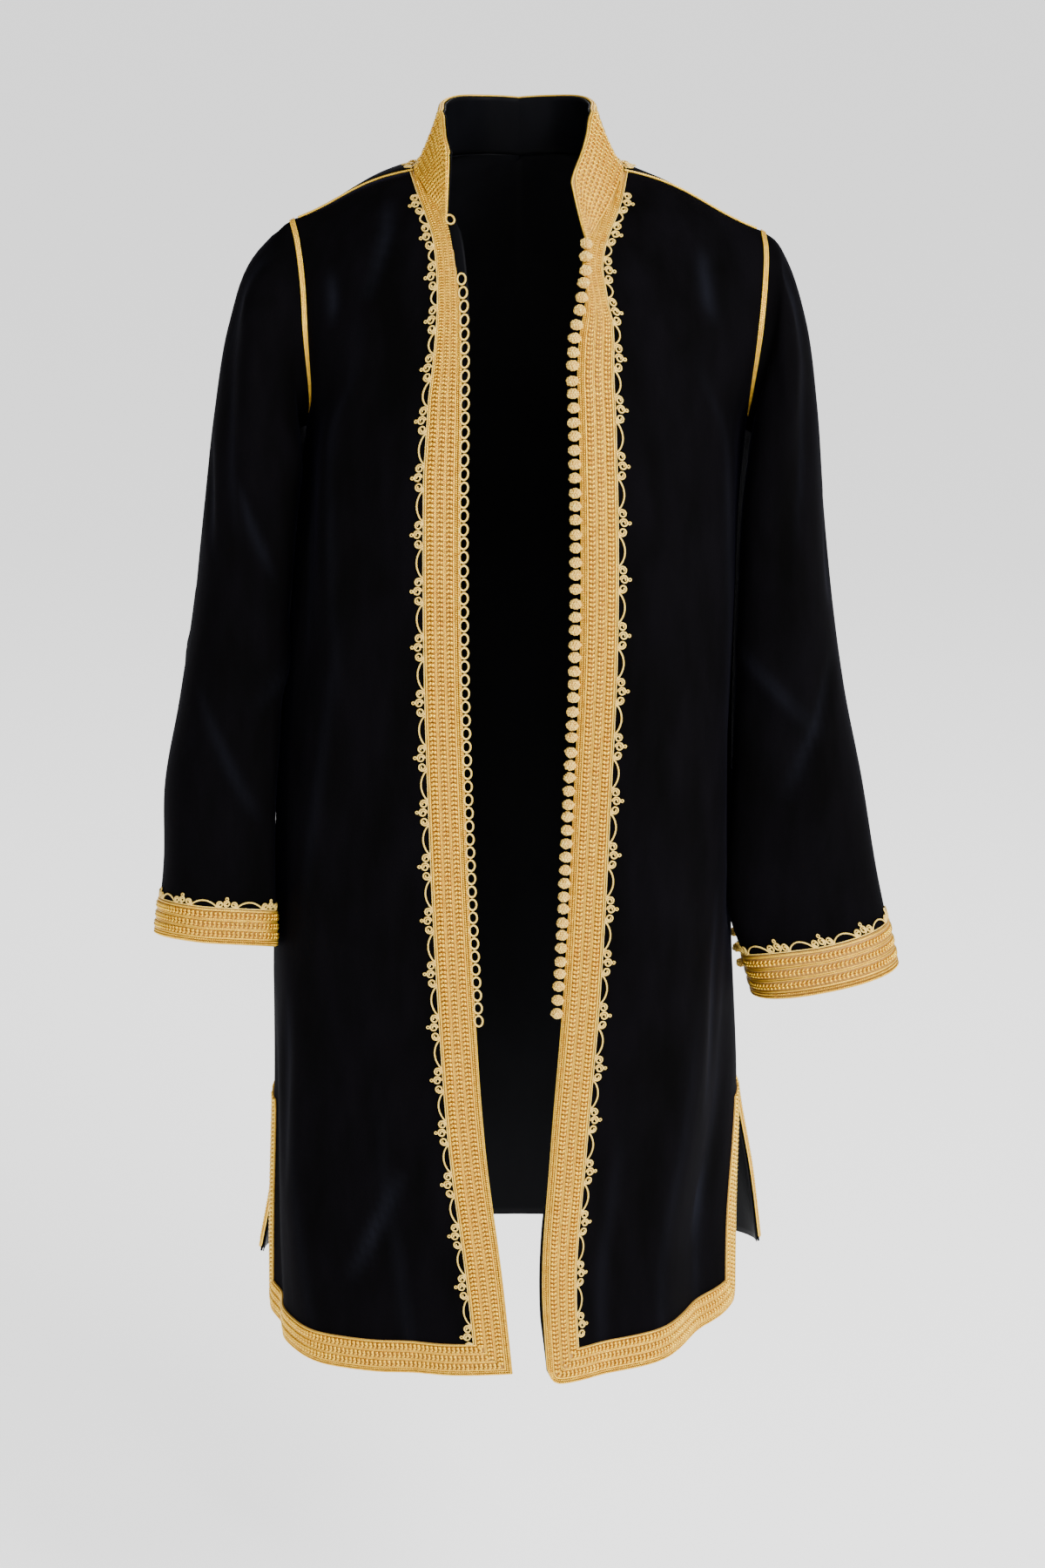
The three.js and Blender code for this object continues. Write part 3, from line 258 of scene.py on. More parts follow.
class Cloth:
    """A net of points on a piece of cloth, in rows, which gives the place of anything sewn to it."""

    def __init__(self, at, rows, middle, columns):
        run = np.cumsum(np.linalg.norm(np.diff(rows, axis=1), axis=2), axis=1)
        run = np.concatenate([np.zeros((len(rows), 1)), run], axis=1)
        share = np.linspace(0, 1, columns)
        self.at, self.length = np.asarray(at, float), run[:, -1]   # the rows' heights and their lengths
        self.points = np.array([
            [np.interp(share * far[-1], far, row[:, k]) for k in range(3)] for far, row in zip(run, rows)
        ]).transpose(0, 2, 1)
        self.middle = middle(self.points)
        self.share = share
        self.joined = np.zeros(len(rows), bool)
        self.crease_sheen = np.zeros(self.points.shape[:2])   # painted sheen along the creases, where the pile would lie over
        self.kept = None   # the normals, until the points move

    def width(self, at):
        """The length of the row at a height."""
        return np.interp(at, self.at, self.length)

    def across(self):
        return np.cross(*np.gradient(self.points, axis=(0, 1)))

    def turn(self):
        """Which way round the rows and columns run, so that normals and faces point outwards."""
        return 1 if ((self.points - self.middle) * self.across()).sum() > 0 else -1

    def normals(self):
        """Where rows of two pieces are joined on the middle line, the normal lies in the middle plane."""
        if self.kept is None:
            across = self.across() * self.turn()
            across[self.joined, 0, 0] = 0
            self.kept = across / np.maximum(1e-9, np.linalg.norm(across, axis=2, keepdims=True))
        return self.kept

    def raise_by(self, rise):
        self.points = self.points + rise[..., None] * self.normals()
        self.kept = None

    def fold(self, folds, hold):
        """Raises the cloth along its folds, as freely as it is held, and paints a sheen of light along them.
        """
        rise = np.zeros(self.points.shape[:2])
        for start, begins, end, ends, width, height in folds:
            t = (self.at - start) / (end - start)
            along = np.where((t > 0) & (t < 1), np.sin(math.pi * t), 0)[:, None]
            middle = (begins + (ends - begins) * t)[:, None]
            off = (self.share[None, :] - middle) * self.length[:, None] / width
            rise += height * along * np.exp(-off * off)
            # A painted sheen of light along the middle of each fold, in full on narrow folds and fainter on
            # wide ones
            painted_sheen = np.exp(-(off * width / CREASE_WIDTH) ** 2)
            self.crease_sheen += hold * along * painted_sheen * min(1, NARROW_FOLD / width)
        self.raise_by(rise * hold)

    def place(self, at, distance, lift=0.0):
        """The point at a height, a distance from the row's beginning and a lift over the cloth."""
        at, distance, lift = np.broadcast_arrays(*(np.asarray(x, float) for x in (at, distance, lift)))
        high, wide = self.points.shape[:2]
        r = np.interp(at, self.at, np.arange(high))
        c = distance / self.width(at) * (wide - 1)
        i, j = np.clip(r.astype(int), 0, high - 2), np.clip(np.floor(c).astype(int), 0, wide - 2)
        s, t = (r - i)[..., None], (c - j)[..., None]

        def read(net, t):
            lower = net[i, j] * (1 - t) + net[i, j + 1] * t
            upper = net[i + 1, j] * (1 - t) + net[i + 1, j + 1] * t
            return lower * (1 - s) + upper * s

        normal = unit(read(self.normals(), np.clip(t, 0, 1)))
        return read(self.points, t) + lift[..., None] * normal, normal


def body_heights(*stops):
    """Heights of the rows, close together, with a row at each of the stops."""
    parts = [np.linspace(low, high, max(2, round((high - low) / ROW_STEP)), endpoint=False)
             for low, high in zip(stops, stops[1:])]
    return np.concatenate([*parts, [stops[-1]]])


def from_side(cloth):
    """How far each point of the net lies from the row's side end."""
    return cloth.length[:, None] * (1 - cloth.share[None, :])


def body_hold(cloth):
    """How freely folds lift the cloth: not at all on the shoulder and on the sewn part of the side seam."""
    free = np.where(cloth.at[:, None] < VENT_HEIGHT, 1, np.clip(from_side(cloth) / SOFT_EDGE, 0, 1))
    return free * np.clip((SHOULDER_ROW - cloth.at) / SOFT_EDGE, 0, 1)[:, None]


def seam_dip(cloth):
    """The stitching pulls the pile down along the sewn part of the side seam."""
    sewn = (cloth.at[:, None] > VENT_HEIGHT) & (cloth.at[:, None] < UNDERARM_ROW)
    cloth.raise_by(-SEAM_DEPTH * sewn * np.exp(-(from_side(cloth) / SEAM_WIDTH) ** 2))


def body_axis(points):
    return points * np.array([0, 0, 1])


def cut_front(table, hand, folds):
    at = body_heights(0, VENT_HEIGHT, UNDERARM_ROW, NECK_ROW, SHOULDER_ROW)
    read = read_table(table, at)
    rows = body_rows(read[:, :3], read[:, 3:6], read[:, 6], read[:, 7], hand)
    cloth = Cloth(at, rows, body_axis, FRONT_COLUMNS)
    cloth.fold(folds, body_hold(cloth))
    seam_dip(cloth)
    return cloth


def cloth_mesh(name, cloths, finish, inset=0.0, thickness=VELVET):
    """One sheet of cloth on some nets, sewn together where they meet, with its thickness to the inside."""
    mesh = bmesh.new()
    # The painted sheen along the creases is kept on each point, for the velvet's colour
    crease_sheen = mesh.verts.layers.float.new("crease_sheen")
    for cloth in cloths:
        points = (cloth.points - inset * cloth.normals()) * MM
        outward = cloth.turn() > 0
        verts = [[mesh.verts.new(p) for p in row] for row in points]
        for vert, value in zip(sum(verts, []), cloth.crease_sheen.ravel()):
            vert[crease_sheen] = value
        for low, high in zip(verts, verts[1:]):
            for k in range(len(low) - 1):
                around = [low[k], high[k], high[k + 1], low[k + 1]]
                mesh.faces.new(around if outward else around[::-1])
    bmesh.ops.remove_doubles(mesh, verts=mesh.verts, dist=0.00005)
    for face in mesh.faces:
        face.smooth = True
    data = bpy.data.meshes.new(name)
    mesh.to_mesh(data)
    mesh.free()
    data.materials.append(finish)
    piece = new_object(name, data)
    wall = piece.modifiers.new("wall", "SOLIDIFY")
    wall.thickness, wall.offset, wall.use_even_offset = thickness * MM, -1, False
    nets = [cloth.points * MM for cloth in cloths]
    across = sum(np.linalg.norm(np.diff(net, axis=1), axis=2).sum(axis=1).max() for net in nets)
    along = max(np.linalg.norm(np.diff(net, axis=0), axis=2).sum(axis=0).max() for net in nets)
    piece["cut"] = (float(across), float(along))
    return piece


def declare(piece, node):
    """The piece is fixed to the body, and the solid of that name is hidden."""
    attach(piece, "root")
    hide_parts(node)


def declare_cloth(piece, node):
    """Like declare: the piece is fixed to the body and the solid of that name is hidden; cloth_mesh keeps the
    cloth's own width and length on the piece as its cut.
    """
    declare(piece, node)


def noise(tree, scale, detail=3.0, stretch=None):
    """Noise in the coat's own space, stretched along an axis where the cloth's nap runs."""
    place = add_node(tree, "ShaderNodeTexCoord").outputs["Object"]
    if stretch:
        place = add_node(tree, "ShaderNodeMapping", Vector=place, Scale=stretch).outputs["Vector"]
    return add_node(tree, "ShaderNodeTexNoise", Vector=place, Scale=scale, Detail=detail).outputs["Fac"]


def maths(tree, operation, *values):
    step = add_node(tree, "ShaderNodeMath", [("operation", operation)])
    for socket, value in zip(step.inputs, values):
        fill(tree, socket, value)
    return step.outputs[0]


def attribute(tree, name, output="Fac"):
    return add_node(tree, "ShaderNodeAttribute", [("attribute_name", name)]).outputs[output]


def blend_colour(tree, mask, dark, light, low=0.3, high=0.7):
    """From the dark colour, where the mask is low, to the light one, where it is high."""
    spread = add_node(tree, "ShaderNodeMapRange", Value=mask, From_Min=low, From_Max=high)
    return mix_colours(tree, spread.outputs["Result"], (*dark, 1), (*light, 1))


def bump(tree, height, strength, depth, under=None):
    relief = add_node(tree, "ShaderNodeBump", Height=height, Strength=strength, Distance=depth)
    if under:
        feed(tree, relief, Normal=under)
    return relief.outputs["Normal"]


def effect_group(name, *outputs):
    group = bpy.data.node_groups.new(name, "ShaderNodeTree")
    for output in outputs:
        group.interface.new_socket(output, in_out="OUTPUT", socket_type="NodeSocketFloat")
    return group


# The pile group: broad marks where the pile lies another way, and the fine stand of the pile itself
pile = effect_group("pile", "Marks", "Stand")
add_node(pile, "NodeGroupOutput", Marks=noise(pile, scale=22, detail=4, stretch=(1.6, 1.6, 0.5)),
         Stand=noise(pile, scale=1500, detail=2, stretch=(1, 1, 0.6)))

velvet, tree, shader = new_material(
    "velvet", Roughness=0.85, Specular_IOR_Level=0.017, Sheen_Weight=0.012, Sheen_Roughness=0.3,
    Sheen_Tint=(0.5, 0.5, 1.0, 1))
nap = add_node(tree, "ShaderNodeGroup", [("node_tree", pile)]).outputs
nap_colour = blend_colour(tree, nap["Marks"], (0.0011, 0.001, 0.0011), (0.0022, 0.0019, 0.0026))
# Painted sheen: along its creases the colour is lightened in patches to a bluish grey, where the pile would
# lie over and catch the light
sheen_patches = maths(tree, "MULTIPLY", attribute(tree, "crease_sheen"), nap["Marks"])
laid = bump(tree, nap["Marks"], strength=0.25, depth=0.004)
feed(tree, shader, Base_Color=mix_colours(tree, sheen_patches, nap_colour, (0.009, 0.0098, 0.015, 1)),
     Normal=bump(tree, nap["Stand"], strength=0.35, depth=0.0004, under=laid))

front_right = cut_front(RIGHT_FRONT, -1, RIGHT_FRONT_FOLDS)
front_left = cut_front(LEFT_FRONT, 1, LEFT_FRONT_FOLDS)
# The lower corner of the left front is rounded
near = np.clip(1 - front_left.share[None, :] * front_left.length[:, None] / LEFT_CORNER, 0, 1)
low = np.clip(1 - front_left.at / LEFT_CORNER_HEIGHT, 0, 1)[:, None]
front_left.points[..., 2] += LEFT_CORNER * (1 - np.sqrt(1 - near ** 2)) * low
front_left.kept = None
declare_cloth(cloth_mesh("velvet_front_right", [front_right], velvet), "front_right")
declare_cloth(cloth_mesh("velvet_front_left", [front_left], velvet), "front_left")

# ---- The back: velvet ----------------------------------------------
# The same velvet in one piece across, from the back neckline to the hem, sewn to the fronts along the
# shoulders and the sides. It swings out behind the legs, and its lower corners stand clear at the vents.
BACK_NECK_ROW = 935
# Height over the hem; the point on the middle line or neckline. For each side: height over the hem; the
# point on the side; how square the row runs; how much its middle rises
BACK_MIDDLE = [
    (0, 0, 175, -965),
    (90, 0, 170, -876),
    (185, 0, 163, -781),
    (330, 0, 150, -636),
    (480, 0, 130, -487),
    (610, 0, 124, -357),
    (720, 0, 126, -247),
    (800, 0, 125, -167),
    (845, 0, 119, -120),
    (885, 0, 106, -70),
    (935, 0, 71, 4),
    (945, 31, 66, 6),
    (955, 57, 47, 7),
    (965, 75, 21, 4),
    (975, 82.5, -8, 0),
]
BACK_RIGHT_SIDE = [
    (0, 230, 93, -967, 2.3, 0),
    (90, 214.5, 58, -880, 2.3, 0),
    (185, 209, 18, -784, 2.3, 0),
    (330, 206, 14, -640, 2.4, 0),
    (480, 200, 12, -492, 2.4, 0),
    (610, 188, 12, -366, 2.4, 0),
    (720, 179, 13, -270, 2.4, 0),
    (800, 172, 14, -208, 2.3, 0),
    (845, 168, 52, -178, 1.9, 0),
    (885, 168, 64, -136, 1.6, 3),
    (935, 172, 50, -80, 1.3, 7),
    (955, 176, 26, -52, 1.15, 8),
    (975, 178, -3, -39, 1, 4),
]
BACK_LEFT_SIDE = [
    (0, 215, 115, -967, 2.1, 0),
    (90, 203, 68, -880, 2.2, 0),
    (185, 186, 18, -781, 2.3, 0),
    (330, 179, 14, -640, 2.4, 0),
    (480, 177, 12, -492, 2.4, 0),
    (610, 177, 12, -366, 2.4, 0),
    (720, 179, 13, -270, 2.4, 0),
    (800, 184, 14, -212, 2.3, 0),
    (845, 181, 52, -178, 1.9, 0),
    (885, 184, 64, -138, 1.6, 0),
    (935, 192, 50, -86, 1.3, 1),
    (955, 194, 26, -60, 1.15, 2),
    (975, 192, -3, -48, 1, 4),
]
BACK_RIGHT_FOLDS = [
    (520, 0.35, -80, 0.45, 28, 7),
    (840, 0.8, 560, 0.5, 22, 5),
    (860, 0.35, 760, 0.75, 14, -4),
    (330, 0.72, 150, 0.66, 12, -4),
    (700, 0.2, 610, 0.5, 10, -3),
]
BACK_LEFT_FOLDS = [
    (480, 0.5, -100, 0.4, 26, 7),
    (850, 0.78, 600, 0.42, 22, 5),
    (870, 0.3, 790, 0.7, 14, -4),
    (360, 0.8, 170, 0.72, 12, -4),
    (640, 0.55, 560, 0.25, 10, -3),
]


def cut_back(sides, fronts, hand, folds):
    """Half of the back, whose side is the front's own side as far as they are sewn together."""
    at = body_heights(0, VENT_HEIGHT, UNDERARM_ROW, BACK_NECK_ROW, SHOULDER_ROW)
    edge = read_table(BACK_MIDDLE, at)
    edge[at <= BACK_NECK_ROW, 0] = 0
    own = read_table(sides, at)
    sewn = (at >= VENT_HEIGHT) & (at <= UNDERARM_ROW)
    side = np.where(sewn[:, None], read_table(fronts, at, 4, 7), own[:, :3])
    cloth = Cloth(at, body_rows(edge, side, own[:, 3], own[:, 4], hand), body_axis, BACK_COLUMNS)
    cloth.joined = at <= BACK_NECK_ROW
    cloth.fold(folds, body_hold(cloth))
    seam_dip(cloth)
    return cloth


back_right = cut_back(BACK_RIGHT_SIDE, RIGHT_FRONT, -1, BACK_RIGHT_FOLDS)
back_left = cut_back(BACK_LEFT_SIDE, LEFT_FRONT, 1, BACK_LEFT_FOLDS)
declare_cloth(cloth_mesh("velvet_back", [back_right, back_left], velvet), "back")

# ---- The sleeves: velvet -------------------------------------------
# Long and wide, in one piece each, set in round the armholes and sewn up on the inside of the arm, down
# to a slit above the wrist. They hang a little forward beside the body and crease at the elbows.
SLEEVE_LENGTH, SLIT_LENGTH, SLIT_OPENING, SLEEVE_ROUND, SLEEVE_FULLNESS = 600, 78, 14, 370, 2.2
SLEEVE_COLUMNS, HEAD_LENGTH, HEAD_OUT, HEAD_DROP = 73, 10, 8, 4.5
# Distance from the armhole; the outermost and the innermost point as x and z; y of the foremost and of the
# hindmost; how far the fore side is lifted; how far the seam has turned back; how it lies round the body, on
# both sides and on the fore side
RIGHT_SLEEVE = [
    (45, 213, -72, 178, -220, -47, 76, 0, 0, 20, 0),
    (100, 233, -124, 177, -243, -58, 86, 0, 0, 30, 0),
    (170, 246, -194, 183, -282, -62, 88, 0, 10, 36, 0),
    (250, 256, -272, 190, -332, -62, 84, 2, 22, 46, 0),
    (330, 266, -352, 198, -394, -66, 78, 6, 36, 50, 0),
    (410, 279, -432, 203, -460, -74, 68, 10, 50, 48, 6),
    (480, 292, -502, 206, -518, -82, 54, 13, 62, 38, 16),
    (545, 294, -568, 208.5, -579, -88, 40, 15, 72, 28, 30),
    (600, 301, -626, 208, -637, -92, 30, 16, 80, 14, 44),
]
LEFT_SLEEVE = [
    (45, 215, -74, 190, -222, -47, 76, 0, 0, 18, 0),
    (100, 231, -122, 187, -240, -58, 88, 0, 0, 26, 0),
    (170, 241, -188, 184, -280, -62, 90, 0, 4, 34, 0),
    (250, 248, -268, 183, -336, -62, 86, 0, 8, 40, 0),
    (330, 257, -350, 182, -400, -58, 80, 0, 14, 42, 0),
    (410, 269.5, -430, 181.5, -470, -54, 73, 1, 20, 40, 8),
    (480, 285.5, -505, 180.5, -538, -49, 67, 2, 25, 34, 24),
    (545, 301, -590, 181.5, -618, -43, 62, 3, 28, 14, 46),
    (600, 319, -668, 198, -694, -38, 60, 4, 30, 0, 0),
]
RIGHT_SLEEVE_FOLDS = [
    (60, 0.4, 240, 0.34, 22, -5),
    (270, 0.12, 400, 0.36, 16, 5),
    (300, 0.9, 380, 0.62, 16, 5),
    (15, 0.44, 125, 0.42, 12, -3),
    (180, 0.47, 275, 0.43, 10, -3),
    (180, 0.32, 265, 0.27, 12, -3),
    (385, 0.47, 500, 0.35, 12, -4),
    (220, 0.7, 320, 0.58, 12, -4),
]
LEFT_SLEEVE_FOLDS = [
    (70, 0.4, 260, 0.3, 22, -5),
    (300, 0.16, 430, 0.4, 16, 5),
    (320, 0.88, 400, 0.6, 16, 5),
    (20, 0.43, 110, 0.4, 12, -3),
    (240, 0.48, 330, 0.46, 10, -3),
    (360, 0.44, 470, 0.3, 12, -4),
    (210, 0.68, 330, 0.6, 12, -4),
]
# Heights over the hem at even steps round the armhole, up its fore side and down its hind side
FRONT_MOUTH = [800, 825, 850, 877, 903, 925, 942, 959, 975]
BACK_MOUTH = [975, 965, 955, 945, 935, 911, 884, 856, 828, 800]


def cut_sleeve(table, front_table, back_table, hand, folds):
    """Threads that leave the armhole, step out over the sleeve head and run down to the cuff."""
    # Its rows lie closest together over the head, and one falls on the top of the slit
    along = np.concatenate([[0, 3, 6, HEAD_LENGTH], np.linspace(16, SLEEVE_LENGTH - SLIT_LENGTH, 69),
                            np.linspace(528, SLEEVE_LENGTH, 13)])
    share = np.linspace(0, 1, SLEEVE_COLUMNS)
    fore_at = np.interp(share * 2, np.linspace(0, 1, len(FRONT_MOUTH)), FRONT_MOUTH)
    hind_at = np.interp(share * 2 - 1, np.linspace(0, 1, len(BACK_MOUTH)), BACK_MOUTH)
    mouth = np.where(share[:, None] < 0.5, read_table(front_table, fore_at, 4, 7),
                     read_table(back_table, hind_at, 1, 4)) * np.array([hand, 1, 1])
    head = mouth + np.array([hand * HEAD_OUT, 0, -HEAD_DROP])
    values = np.array(table, float)
    opened = np.maximum(0, (along - SLEEVE_LENGTH + SLIT_LENGTH) / SLIT_LENGTH)
    gap = SLIT_OPENING * opened / 2 / SLEEVE_ROUND
    rows = []
    for here, slit in zip(along, gap):
        stops = [mouth, head]
        for _, ox, oz, ix, iz, front, hindmost, lift, turned, hug, fore_hug in values:
            angle = (slit + share * (1 - 2 * slit)) * 2 * math.pi - math.radians(turned)
            cos, sin = np.cos(angle), np.sin(angle)
            reach = (np.abs(cos) ** SLEEVE_FULLNESS + np.abs(sin) ** SLEEVE_FULLNESS) ** (1 / SLEEVE_FULLNESS)
            close = (hug + fore_hug * (sin > 0)) * np.maximum(0, cos) * sin ** 2
            stops.append(np.stack([
                hand * ((ox + ix) / 2 - (ox - ix) / 2 * cos / reach - close),
                (front + hindmost) / 2 + (front - hindmost) / 2 * sin / reach,
                (oz + iz) / 2 - (oz - iz) / 2 * cos / reach + lift * sin / reach,
            ], axis=1))
        stops = np.array(stops).reshape(len(stops), -1)
        rows.append(curve([0, HEAD_LENGTH, *values[:, 0]], stops, here).reshape(-1, 3))
    cloth = Cloth(along, np.array(rows), lambda points: points.mean(axis=1, keepdims=True), SLEEVE_COLUMNS)
    by_seam = np.clip(np.minimum(cloth.share, 1 - cloth.share) * 20, 0, 1)
    cloth.fold(folds, np.clip(cloth.at / SOFT_EDGE, 0, 1)[:, None] * by_seam)
    return cloth


sleeve_right = cut_sleeve(RIGHT_SLEEVE, RIGHT_FRONT, BACK_RIGHT_SIDE, -1, RIGHT_SLEEVE_FOLDS)
sleeve_left = cut_sleeve(LEFT_SLEEVE, LEFT_FRONT, BACK_LEFT_SIDE, 1, LEFT_SLEEVE_FOLDS)
declare_cloth(cloth_mesh("velvet_sleeve_right", [sleeve_right], velvet), "sleeve_right")
declare_cloth(cloth_mesh("velvet_sleeve_left", [sleeve_left], velvet), "sleeve_left")
SIDES = ("right", front_right, sleeve_right), ("left", front_left, sleeve_left)

# ---- The stand collar: velvet --------------------------------------
# A stand collar, stiffened, sewn all round the neckline. It leans on the neck at the sides and stands
# free in front, and the braid covers its whole outside.
# From the front end, 0, to the middle of the back, 1; how far the top edge leans in, back and up
RIGHT_COLLAR = [
    (0, 2, 17, 50),
    (0.3, 9, 9, 47),
    (0.5, 16, 1, 46),
    (0.7, 21, -7, 47),
    (1, 0, -14, 46),
]
LEFT_COLLAR = [
    (0, 12, 10, 44),
    (0.3, 17, 7, 45),
    (0.5, 21, 0, 46),
    (0.7, 24, -7, 47),
    (1, 0, -14, 46),
]
COLLAR_HEIGHT, COLLAR_COLUMNS, COLLAR_ROWS = 48, 169, 13
# The neckline's heights over the hem at even steps from its front end to the middle of the back
NECKLINE = [925, 942, 959, 975, 965, 955, 945, 935]
SHOULDER_STEP, BACK_STEP, ALL_STEPS = 3, 7, 14


def cut_collar():
    """Columns of points up the collar, from the right front round the back to the left front."""
    step = np.linspace(0, ALL_STEPS, COLLAR_COLUMNS)
    up = np.linspace(0, 1, COLLAR_ROWS)
    near = np.minimum(step, ALL_STEPS - step)
    at = np.interp(near, np.arange(BACK_STEP + 1), NECKLINE)
    hand = np.where(step <= BACK_STEP, -1, 1)
    right = hand[:, None] < 0
    hind = read_table(BACK_MIDDLE, at)
    hind[at <= BACK_NECK_ROW, 0] = 0
    fore = np.where(right, *(read_table(table, at, 1, 4) for table in (RIGHT_FRONT, LEFT_FRONT)))
    foot = np.where(near[:, None] <= SHOULDER_STEP, fore, hind)
    foot[:, 0] *= hand
    station = np.cos(math.pi / 2 * np.abs(step - BACK_STEP) / BACK_STEP) ** 0.8
    lean = np.where(right, *(read_table(table, station) for table in (RIGHT_COLLAR, LEFT_COLLAR)))
    curl = (up ** 0.8)[:, None]
    return np.stack([
        foot[:, 0] - hand * lean[:, 0] * curl,
        foot[:, 1] + lean[:, 1] * curl,
        foot[:, 2] + lean[:, 2] * up[:, None],
    ], axis=2), up


collar_rows, collar_up = cut_collar()
collar = Cloth(collar_up * COLLAR_HEIGHT, collar_rows,
               lambda points: body_axis(points) + np.array([0, 8, 0]), COLLAR_COLUMNS)
declare_cloth(cloth_mesh("velvet_collar", [collar], velvet), "collar")

# ---- Linings and facings: satin ------------------------------------
# Dark blue-grey satin, smooth and faintly shiny: it lines the whole back and the inside of the collar,
# and faces the fronts a hand's breadth in from their edges.
satin, tree, shader = new_material("satin", Specular_IOR_Level=0.03, Sheen_Weight=0.002, Sheen_Roughness=0.4)
drape = noise(tree, scale=9, stretch=(1.5, 1.5, 0.6))
weave = noise(tree, scale=2600, detail=1, stretch=(1, 1, 0.25))
gloss = add_node(tree, "ShaderNodeMapRange", Value=drape, To_Min=0.42, To_Max=0.55)
wrinkled = bump(tree, drape, strength=0.35, depth=0.006)
feed(tree, shader, Roughness=gloss.outputs["Result"],
     Base_Color=blend_colour(tree, drape, (0.0012, 0.0012, 0.0015), (0.0032, 0.0033, 0.0044)),
     Normal=bump(tree, weave, strength=0.12, depth=0.0002, under=wrinkled))
SATIN, SATIN_GAP = 1.0, 0.5   # its thickness and the space between it and the velvet
FACING_SHARE, FACING_COLUMNS = 14, 20   # how many of the front's columns it covers, and its own
# How far the facing's edge shows past the velvet's, at heights over the hem
RIGHT_EDGE = (0, 0.5), (700, 1), (790, 2), (825, 6), (890, 7.5), (922, 9), (945, 0.5), (975, 0)
LEFT_EDGE = (0, 0), (50, 3), (130, 3), (220, 0), (975, 0)


def cut_facing(cloth, shown):
    past = np.interp(cloth.at, *zip(*shown))
    edge = np.stack([cloth.place(cloth.at, -past * share)[0] for share in (1, 0.75, 0.5, 0.25)], axis=1)
    rows = np.concatenate([edge, cloth.points[:, :FACING_SHARE]], axis=1)
    return Cloth(cloth.at, rows, body_axis, FACING_COLUMNS)


LININGS = [
    ("satin_back", [back_right, back_left], "lining_back"),
    ("satin_collar", [collar], "lining_collar"),
    ("satin_facing_right", [cut_facing(front_right, RIGHT_EDGE)], "facing_right"),
    ("satin_facing_left", [cut_facing(front_left, LEFT_EDGE)], "facing_left"),
]
for name, cloths, node in LININGS:
    declare_cloth(cloth_mesh(name, cloths, satin, VELVET + SATIN_GAP, SATIN), node)

# ---- The braid bands: gold -----------------------------------------
# Hand-made braid of gold silk and metal thread, sewn flat in rows on a gold ground: from the free edge two
# beaded cords, a plain cord and three chevron plaits with pairs of fine cords between them. It runs down
# both fronts, along the hem, up the side vents and round the cuffs.
BRAID_ROWS = [  # kind, distance of its middle from the free edge, width
    ("piping", -0.3, 1.5), ("beads", 0.9, 1.9), ("beads", 2.8, 1.9), ("cord", 4.6, 1.7), ("plait", 8.0, 5.2),
    ("cord", 11.2, 1.1), ("cord", 12.3, 1.1), ("plait", 15.4, 5.0), ("cord", 18.5, 1.1), ("cord", 19.6, 1.1),
    ("plait", 22.9, 5.4), ("cord", 26.7, 1.8),
]
CHEVRON_PITCH, BEAD_PITCH, CORD_STEP = 3.7, 1.75, 3.0
# Half a stitch's or bead's length, breadth and height and how far out it sits, as shares of the row's width;
# how far ahead and across it leans
STITCH, STITCH_OUT, STITCH_LEAN = (0.42, 0.29, 0.3), 0.235, (0.76, 0.65)
BEAD, BEAD_LEAN = (0.66, 0.4, 0.45), (0.8, 0.6)
STITCH_LIFT, BEAD_LIFT, CORD_LIFT, PIPING_LIFT = 0.6, 0.55, 0.45, -0.9
GROUND, ON_CLOTH = 0.5, 0.3   # thickness of the ribbon of ground, and how far off the velvet it lies


def geometry_tree(name, number):
    """A geometry tree with its lines, a whole number and a finish as inputs, and one mesh as output."""
    tree = bpy.data.node_groups.new(name, "GeometryNodeTree")
    for label, kind in (("Lines", "Geometry"), (number, "Int"), ("Finish", "Material")):
        tree.interface.new_socket(label, in_out="INPUT", socket_type="NodeSocket" + kind)
    tree.interface.new_socket("Made", in_out="OUTPUT", socket_type="NodeSocketGeometry")
    given = add_node(tree, "NodeGroupInput").outputs

    def node(kind, settings=(), **inputs):
        return add_node(tree, kind, settings, **inputs).outputs

    def finish(geometry):
        real = node("GeometryNodeRealizeInstances", Geometry=geometry)
        smooth = node("GeometryNodeSetShadeSmooth", Geometry=real["Geometry"])
        coated = node("GeometryNodeSetMaterial", Geometry=smooth["Geometry"], Material=given["Finish"])
        node("NodeGroupOutput", Made=coated["Geometry"])

    return tree, node, given, finish


def named(node, label, kind="FLOAT_VECTOR"):
    return node("GeometryNodeInputNamedAttribute", [("data_type", kind)], Name=label)["Attribute"]


def captured(tree, geometry, kind, value):
    """The geometry with a value kept on it, to be read further on."""
    capture = add_node(tree, "GeometryNodeCaptureAttribute", Geometry=geometry)
    capture.capture_items.new(kind, "kept")
    return feed(tree, capture, kept=value).outputs


# A round cord along each line of its input, as thick as the line's "thick". "way" is kept on its surface for
# the twist: where a place lies round the cord, as the two sides of an angle, and how far along.
cord_tree, node, given, finish = geometry_tree("cord along lines", "Sides")
lines = node("GeometryNodeMeshToCurve", Mesh=given["Lines"])
run = captured(cord_tree, lines["Curve"], "FLOAT", node("GeometryNodeSplineParameter")["Length"])
thick = node("GeometryNodeSetCurveRadius", Curve=run["Geometry"], Radius=named(node, "thick", "FLOAT"))
circle = node("GeometryNodeCurvePrimitiveCircle", Resolution=given["Sides"], Radius=0.5)
corner = captured(cord_tree, circle["Curve"], "VECTOR", node("GeometryNodeInputPosition")["Position"])
sweep = add_node(cord_tree, "GeometryNodeCurveToMesh", Curve=thick["Curve"], Profile_Curve=corner["Geometry"],
                 Fill_Caps=True)
if "Scale" in sweep.inputs:
    feed(cord_tree, sweep, Scale=named(node, "thick", "FLOAT"))
